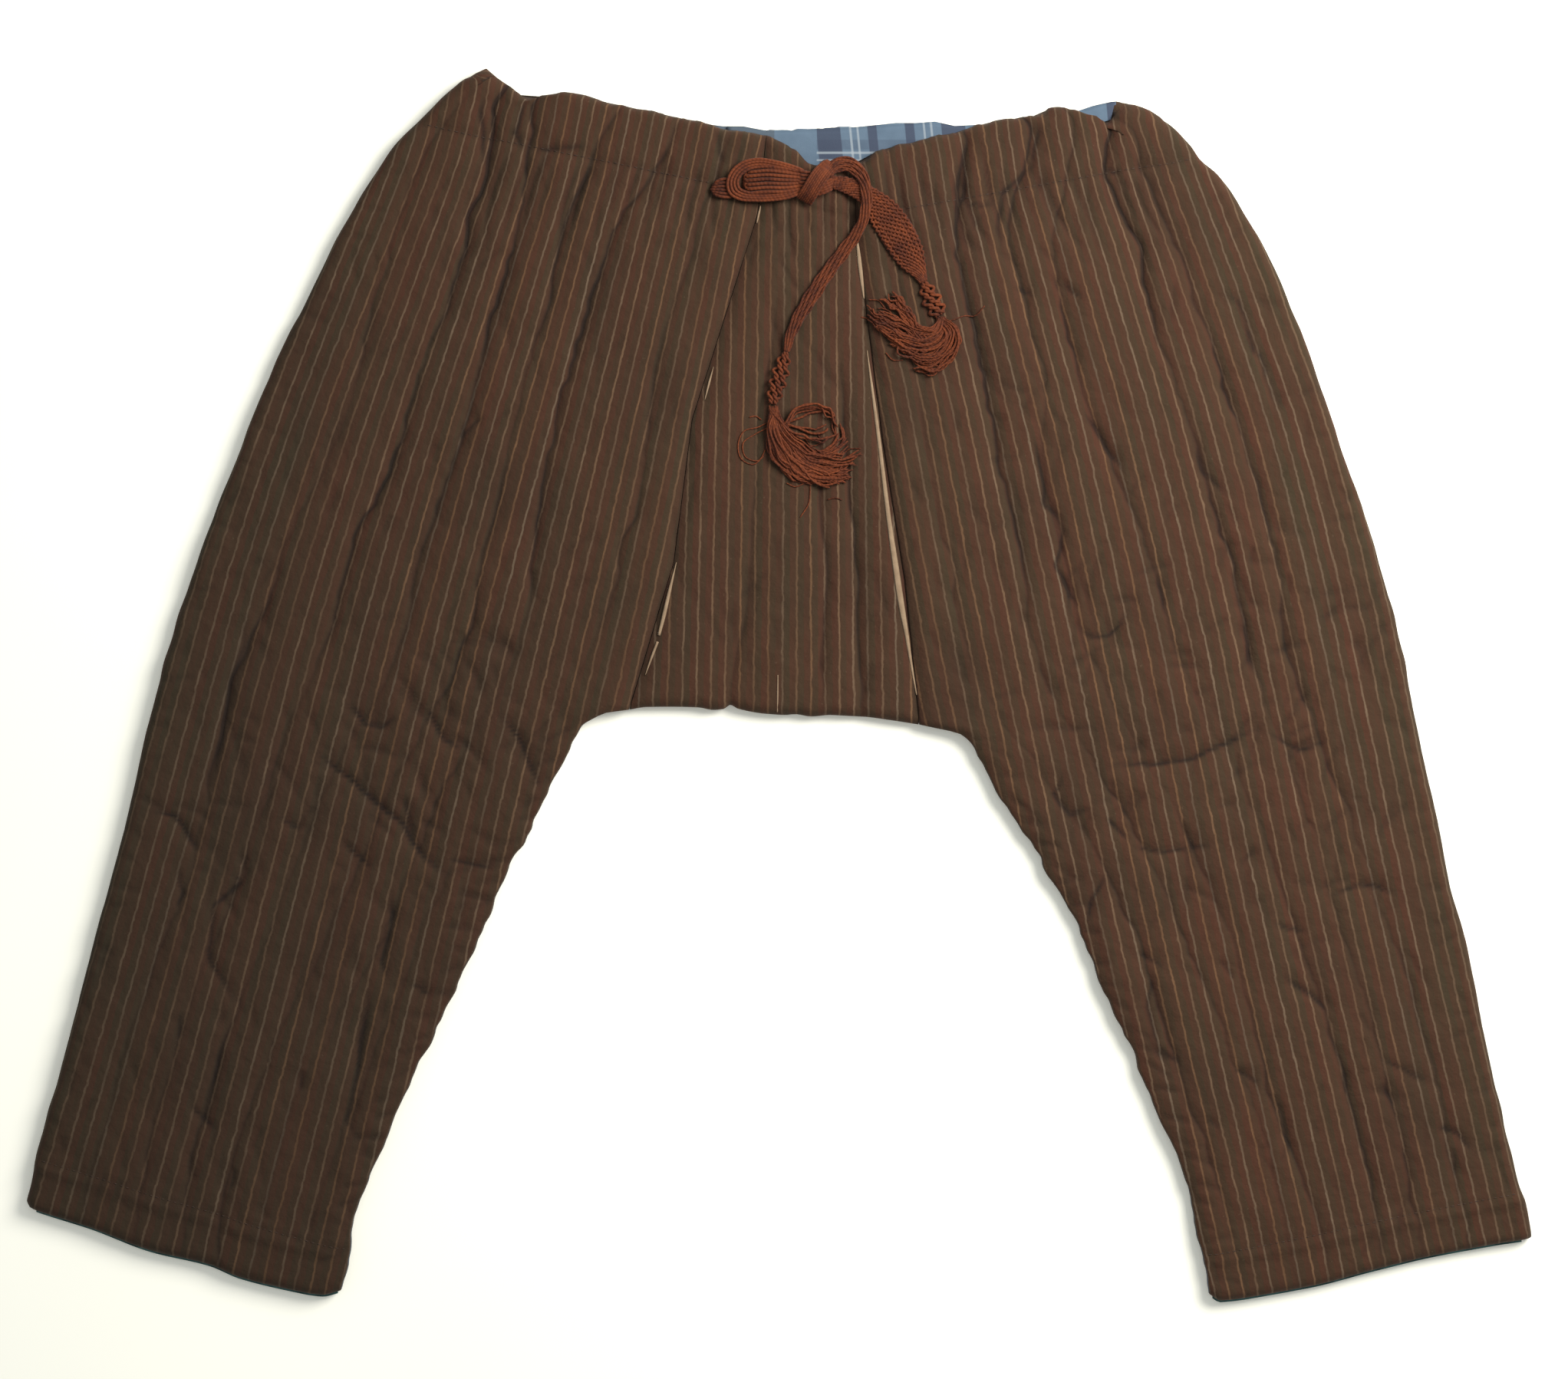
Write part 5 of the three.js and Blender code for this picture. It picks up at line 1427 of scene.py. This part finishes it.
class Finish:
    """A procedural material under construction."""

    def __init__(self, name):
        self.material = bpy.data.materials.new(name)
        self.material.use_nodes = True
        self.tree = self.material.node_tree
        self.shader = next(n for n in self.tree.nodes if n.type == "BSDF_PRINCIPLED")

    def feed(self, socket, value):
        if isinstance(value, Field):
            self.tree.links.new(value.socket, socket)
        else:
            socket.default_value = value

    def node(self, kind, settings=None, inputs=None, output=0):
        node = self.tree.nodes.new(kind)
        for key, value in (settings or {}).items():
            setattr(node, key, value)
        for key, value in (inputs or {}).items():
            self.feed(node.inputs[key], value)
        return Field(self, node.outputs[output])

    def place(self):
        return self.node("ShaderNodeTexCoord", output="Object")

    def flat(self, where):
        """The first two parts of a place or a UV pair."""
        return [self.node("ShaderNodeSeparateXYZ", inputs={0: where}, output=k) for k in (0, 1)]

    def uv(self, name):
        return self.flat(self.node("ShaderNodeUVMap", {"uv_map": name}))

    def stored(self, name):
        return self.node("ShaderNodeAttribute", {"attribute_name": name}, output="Fac")

    def vector(self, x, y):
        return self.node("ShaderNodeCombineXYZ", inputs={"X": x, "Y": y})

    def noise(self, where, scale, detail=2.0, roughness=0.5):
        inputs = {"Vector": where, "Scale": scale, "Detail": detail, "Roughness": roughness}
        return self.node("ShaderNodeTexNoise", inputs=inputs, output=0)

    def random(self, value):
        return self.node("ShaderNodeTexWhiteNoise", {"noise_dimensions": "1D"}, {"W": value}, "Value")

    def mix(self, share, low, high):
        """Blends two colours by a share from 0 to 1."""
        return self.node("ShaderNodeMix", {"data_type": "RGBA"}, {0: share, 6: low, 7: high}, 2)

    def bump(self, height, distance, strength, under=None):
        inputs = {"Height": height, "Distance": distance, "Strength": strength}
        if under is not None:
            inputs["Normal"] = under
        return self.node("ShaderNodeBump", inputs=inputs, output="Normal")

    def finished(self, color, roughness, normal=None, **uniform):
        self.feed(self.shader.inputs["Base Color"], color)
        self.feed(self.shader.inputs["Roughness"], roughness)
        if normal is not None:
            self.feed(self.shader.inputs["Normal"], normal)
        for label, value in uniform.items():
            socket = label.replace("_", " ").title().replace("Ior", "IOR")
            self.shader.inputs[socket].default_value = value
        return self.material


# %% [markdown]
# ### Striped cotton
# Brown cotton with one light thread-wide stripe every 11.8 mm. The stripe number is stored in the
# UV map, so the stripes bend with the cloth. Between two stripes the brown goes from reddish to
# olive, and each column differs a little in dye. The stripes fade and come back along their length.
# Painted shade darkens the left side and the bottom, where the key light falls off, and a stored
# value paints shade into the bottoms of creases, seams and stitch troughs.

# %% Striped cotton
def striped_cotton():
    f = Finish("striped_cotton")
    number, down = f.uv("cloth")
    place, crease_shade = f.place(), f.stored("crease_shade")
    wobble = f.noise(place, 60.0, 3.0, 0.6)
    jitter = f.noise(place, 170.0, 2.0, 0.5)
    at = number + (wobble - 0.5) * 0.24 + (jitter - 0.5) * 0.14
    column = at.math("FLOOR")
    inside = at - column
    from_middle = (inside - 0.5).math("ABSOLUTE")
    stripe = 1.0 - from_middle.step(0.035, 0.1)
    tone = f.random(column)
    fine = f.vector(number * 3.0, down * 0.35)
    fading = f.noise(fine, 1.3, 3.0)
    strength = (tone * 0.45 + 0.55) * (fading * 1.4 + 0.15)
    stripe = (stripe * strength).clamped()

    red, olive, dark = linear(74, 46, 34), linear(60, 50, 36), linear(51, 38, 29)
    side = f.random(column + 31.7)
    patch = f.noise(f.vector(number * 0.35, down * 0.12), 1.0, 3.0)
    share = inside.step(0.15, 0.85) * 0.5 + side * 0.3 + (patch - 0.4) * 0.9
    ground = f.mix(share.clamped(), red, olive)
    thread = f.noise(f.vector(number * 60.0, down * 3.0), 1.0, 2.0)
    ground = f.mix((thread - 0.35) * 0.5, ground, dark)
    blotch = f.noise(place, 11.0, 3.0)
    ground = f.mix(blotch.step(0.45, 0.75) * 0.35, ground, dark)
    pale = f.mix(f.random(column + 7.3), linear(100, 86, 71), linear(107, 79, 56))
    color = f.mix(stripe, ground, pale)
    lint = f.noise(place, 420.0, 1.0).step(0.74, 0.8)
    color = f.mix(lint * 0.16, color, linear(118, 100, 80))
    x, y = f.flat(place)
    # Painted shade: the cloth grows darker towards the left and the bottom, where the key light falls off.
    key_lit_share = (x + y * 0.5).step(-0.65, 0.12)
    color = f.mix((1.0 - key_lit_share) * 0.37, color, linear(40, 38, 31))
    # Painted shade in the bottoms of creases, seams and stitch troughs, from the stored value.
    color = f.mix((crease_shade * 0.9).math("MINIMUM", 0.72), color, linear(26, 22, 21))

    threads = 2 * math.pi * 16  # sixteen threads of the weave from stripe to stripe
    weave = (number * threads).math("SINE") * (down * threads).math("SINE")
    crumple = f.noise(place, 42.0, 3.0, 0.55)
    normal = f.bump(crumple, 0.003, 0.4)
    crinkle = f.noise(place, 130.0, 3.0, 0.6)
    normal = f.bump(crinkle, 0.0014, 0.7, under=normal)
    normal = f.bump(weave, 0.00012, 0.35, under=normal)
    rough = 0.82 + (thread - 0.5) * 0.15
    return f.finished(color, rough, normal, sheen_weight=0.03, sheen_roughness=0.5, specular_ior_level=0.1)


# %% [markdown]
# ### Linings, wool, selvage and thread
# The waist's lining is light blue with navy bars and pairs of white lines, a common check, and the
# hems' is a plain green-blue. The yarn's plies are a diagonal pattern on the strand's own UV map;
# it bumps the yarn and paints light on the plies' crests and shade in the grooves between them.
# The selvage is undyed cotton, and the stitches are of brown thread.

# %% Other finishes
def blue_check():
    """A check that mirrors itself: wide and narrow navy bars with a pair of white lines between."""
    f = Finish("blue_lining")
    place = f.place()
    x, y = f.flat(place)
    soft = 0.0005

    def band(value, low, high):
        return value.step(low - soft, low + soft) * (1.0 - value.step(high - soft, high + soft))

    repeat, mirror = 0.165, 0.0925
    lean = x + (y - 0.43) * 0.1
    across = ((((lean - mirror) * (1 / repeat) + 20.5).math("FRACT") - 0.5) * repeat).math("ABSOLUTE")
    checked = x.step(0.030, 0.031)
    navy = (band(across, 0.0115, 0.019) + band(across, 0.041, 0.0605)) * checked
    white = (band(across, 0.0262, 0.0278) + band(across, 0.032, 0.0338)) * checked
    white_down = (band(y, 0.4243, 0.4257) + band(y, 0.4300, 0.4318)) * checked
    navy_down = band(y, 0.4335, 0.4415) * checked
    shade = f.noise(place, 60.0, 3.0)
    blue, ink = f.mix(shade, linear(77, 95, 113), linear(101, 120, 138)), linear(56, 62, 80)
    color = f.mix((navy * 0.8).clamped(), blue, ink)
    color = f.mix((navy_down * 0.3).clamped(), color, ink)
    color = f.mix(((white + white_down) * 0.75).clamped(), color, linear(146, 156, 164))
    color = f.mix((1.0 - x.step(-0.0045, -0.003)) * 0.6, color, linear(76, 82, 88))
    weave = f.noise(place, 900.0, 1.0)
    normal = f.bump(weave, 0.0002, 0.4)
    return f.finished(color, 0.85 + (weave - 0.5) * 0.1, normal, specular_ior_level=0.25)


def plain_teal():
    f = Finish("teal_hem_lining")
    place = f.place()
    shade = f.noise(place, 80.0, 3.0)
    color = f.mix(shade.step(0.35, 0.7), linear(44, 72, 70), linear(78, 116, 112))
    normal = f.bump(f.noise(place, 900.0, 1.0), 0.0002, 0.4)
    return f.finished(color, 0.85, normal, specular_ior_level=0.25)


def rust_wool():
    f = Finish("rust_wool")
    around, along = f.uv("yarn")
    tone = f.stored("tone")
    ply = (around * (2 * math.pi) + along * (2 * math.pi / 3.2)).math("SINE")
    fibre = f.noise(f.vector(around * 6.0, along * 1.2), 2.2, 3.0, 0.7)
    patch = f.noise(f.place(), 75.0, 3.0, 0.6)
    # The ply term paints light on the plies' crests and shade in the grooves between them.
    share = tone * 0.45 + ply * 0.1 + (fibre - 0.5) * 0.7 + (patch - 0.5) * 1.6 + 0.18
    color = f.mix(share.clamped(), linear(62, 25, 11), linear(117, 56, 24))
    height = ply * 0.5 + fibre * 0.8
    normal = f.bump(height, 0.0003, 0.6)
    return f.finished(color, 0.75 + (fibre - 0.5) * 0.2, normal, sheen_weight=0.05, sheen_roughness=0.45,
                      specular_ior_level=0.25)


def undyed_selvage():
    f = Finish("undyed_selvage")
    place = f.place()
    shade = f.noise(place, 160.0, 3.0)
    color = f.mix(shade, linear(120, 98, 77), linear(160, 138, 112))
    normal = f.bump(f.noise(place, 700.0, 2.0), 0.0003, 0.5)
    return f.finished(color, 0.85, normal, specular_ior_level=0.25)


def brown_thread():
    f = Finish("brown_thread")
    shade = f.noise(f.place(), 500.0, 1.0)
    color = f.mix(shade, linear(40, 31, 27), linear(84, 66, 54))
    return f.finished(color, 0.7, specular_ior_level=0.3)


cotton, check, teal = striped_cotton(), blue_check(), plain_teal()
wool, selvage_finish, thread = rust_wool(), undyed_selvage(), brown_thread()

# %% [markdown]
# ## Stitch rows
# The paths run in the stitch troughs of the cloth, a little above its surface.

# %% Stitch rows
STITCH_LIFT = 0.25


def row_paths(t, last):
    """A path across each leg at a share t of the way down, just above the cloth."""
    paths = []
    for node in LEGS:
        places = edge_points(node, "front", np.linspace(0.02, last, 260), t)
        paths.append([(x, y, ground(x, y) + STITCH_LIFT) for x, y in places])
    return paths


tree = stitch_tree()
casing_stitches = stitch_rows("casing_stitches", row_paths(CASING_AT, 0.96), thread, tree,
                              Pitch=0.0055, Length=0.003, Seed=7)
hem_stitches = stitch_rows("hem_stitches", row_paths(HEM_AT, 0.97), thread, tree,
                           Pitch=0.005, Length=0.0028, Seed=8)
print("stitch faces", len(casing_stitches.data.polygons) + len(hem_stitches.data.polygons))

# %% [markdown]
# ## Finishes on pieces, and what each piece stands for
# Every piece rides on the one rigid body and names its material slot. Each replaces its plain
# solids, apart from the selvages and the stitches, which have none.

# %% Assign
for node in ("leg_left", "leg_right", "gusset"):
    pieces[node].data.materials.append(cotton)
    pieces[node].data.materials.append(check)
pieces["lining_waist"].data.materials.append(check)
for node in ("lining_hem_left", "lining_hem_right"):
    pieces[node].data.materials.append(teal)
for node, piece in pieces.items():
    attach(piece, "root")
    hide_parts(node)
for piece in selvages:
    piece.data.materials.append(selvage_finish)
    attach(piece, "root")
for piece in (casing_stitches, hem_stitches):
    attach(piece, "root")
STANDS_FOR = [
    (bow_knot, ["drawstring_knot"]), (bow_loop, ["drawstring_loop"]),
    (bow_loop_end, ["drawstring_loop_end"]),
    (tail_narrow, ["drawstring_tail_left", "drawstring_net_left"]),
    (tail_wide, ["drawstring_tail_right", "drawstring_net_right"]),
    (tassel_narrow, ["tassel_left"]), (tassel_wide, ["tassel_right"]),
]
for piece, nodes in STANDS_FOR:
    piece.data.materials.append(wool)
    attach(piece, "root")
    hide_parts(*nodes)

# %% [markdown]


# %% [markdown]
# ## Floor and light
# A plain pale floor, a large soft key light from the upper right, a weak fill from above and a
# pale sky all round.

# %% Floor
def floor_finish():
    f = Finish("pale_floor")
    shade = f.noise(f.place(), 3.0, 2.0)
    color = f.mix(shade, linear(250, 250, 238), linear(254, 254, 244))
    return f.finished(color, 0.9, emission_color=linear(255, 254, 240), emission_strength=0.18)


FLOOR_HALF = 3.0  # metres
corners = [(x * FLOOR_HALF, y * FLOOR_HALF, 0) for x, y in [(-1, -1), (1, -1), (1, 1), (-1, 1)]]
floor_mesh = bpy.data.meshes.new("floor")
floor_mesh.from_pydata(corners, [], [(0, 1, 2, 3)])
floor = add_object("floor", floor_mesh)
floor.data.materials.append(floor_finish())


# %% Lights
def area_light(name, place, target, size, power, color):
    data = bpy.data.lights.new(name, "AREA")
    data.shape = "DISK"
    data.size = size
    data.energy = power
    data.color = color
    light = add_object(name, data)
    light.location = place
    light.rotation_euler = (Vector(target) - Vector(place)).to_track_quat("-Z", "Y").to_euler()


area_light("key", place=(1.25, 0.85, 1.45), target=(0.1, 0, 0), size=1.2, power=61.5,
           color=(1.0, 0.96, 0.9))
area_light("fill", place=(0.3, 0.8, 2.2), target=(0, 0, 0), size=2.0, power=7,
           color=(0.9, 0.96, 1.0))
world = bpy.data.worlds.new("studio")
world.use_nodes = True
background = world.node_tree.nodes["Background"]
background.inputs["Color"].default_value = (0.95, 0.98, 1.0, 1.0)
background.inputs["Strength"].default_value = 0.36
bpy.context.scene.world = world
bpy.context.scene.view_settings.view_transform = "Standard"
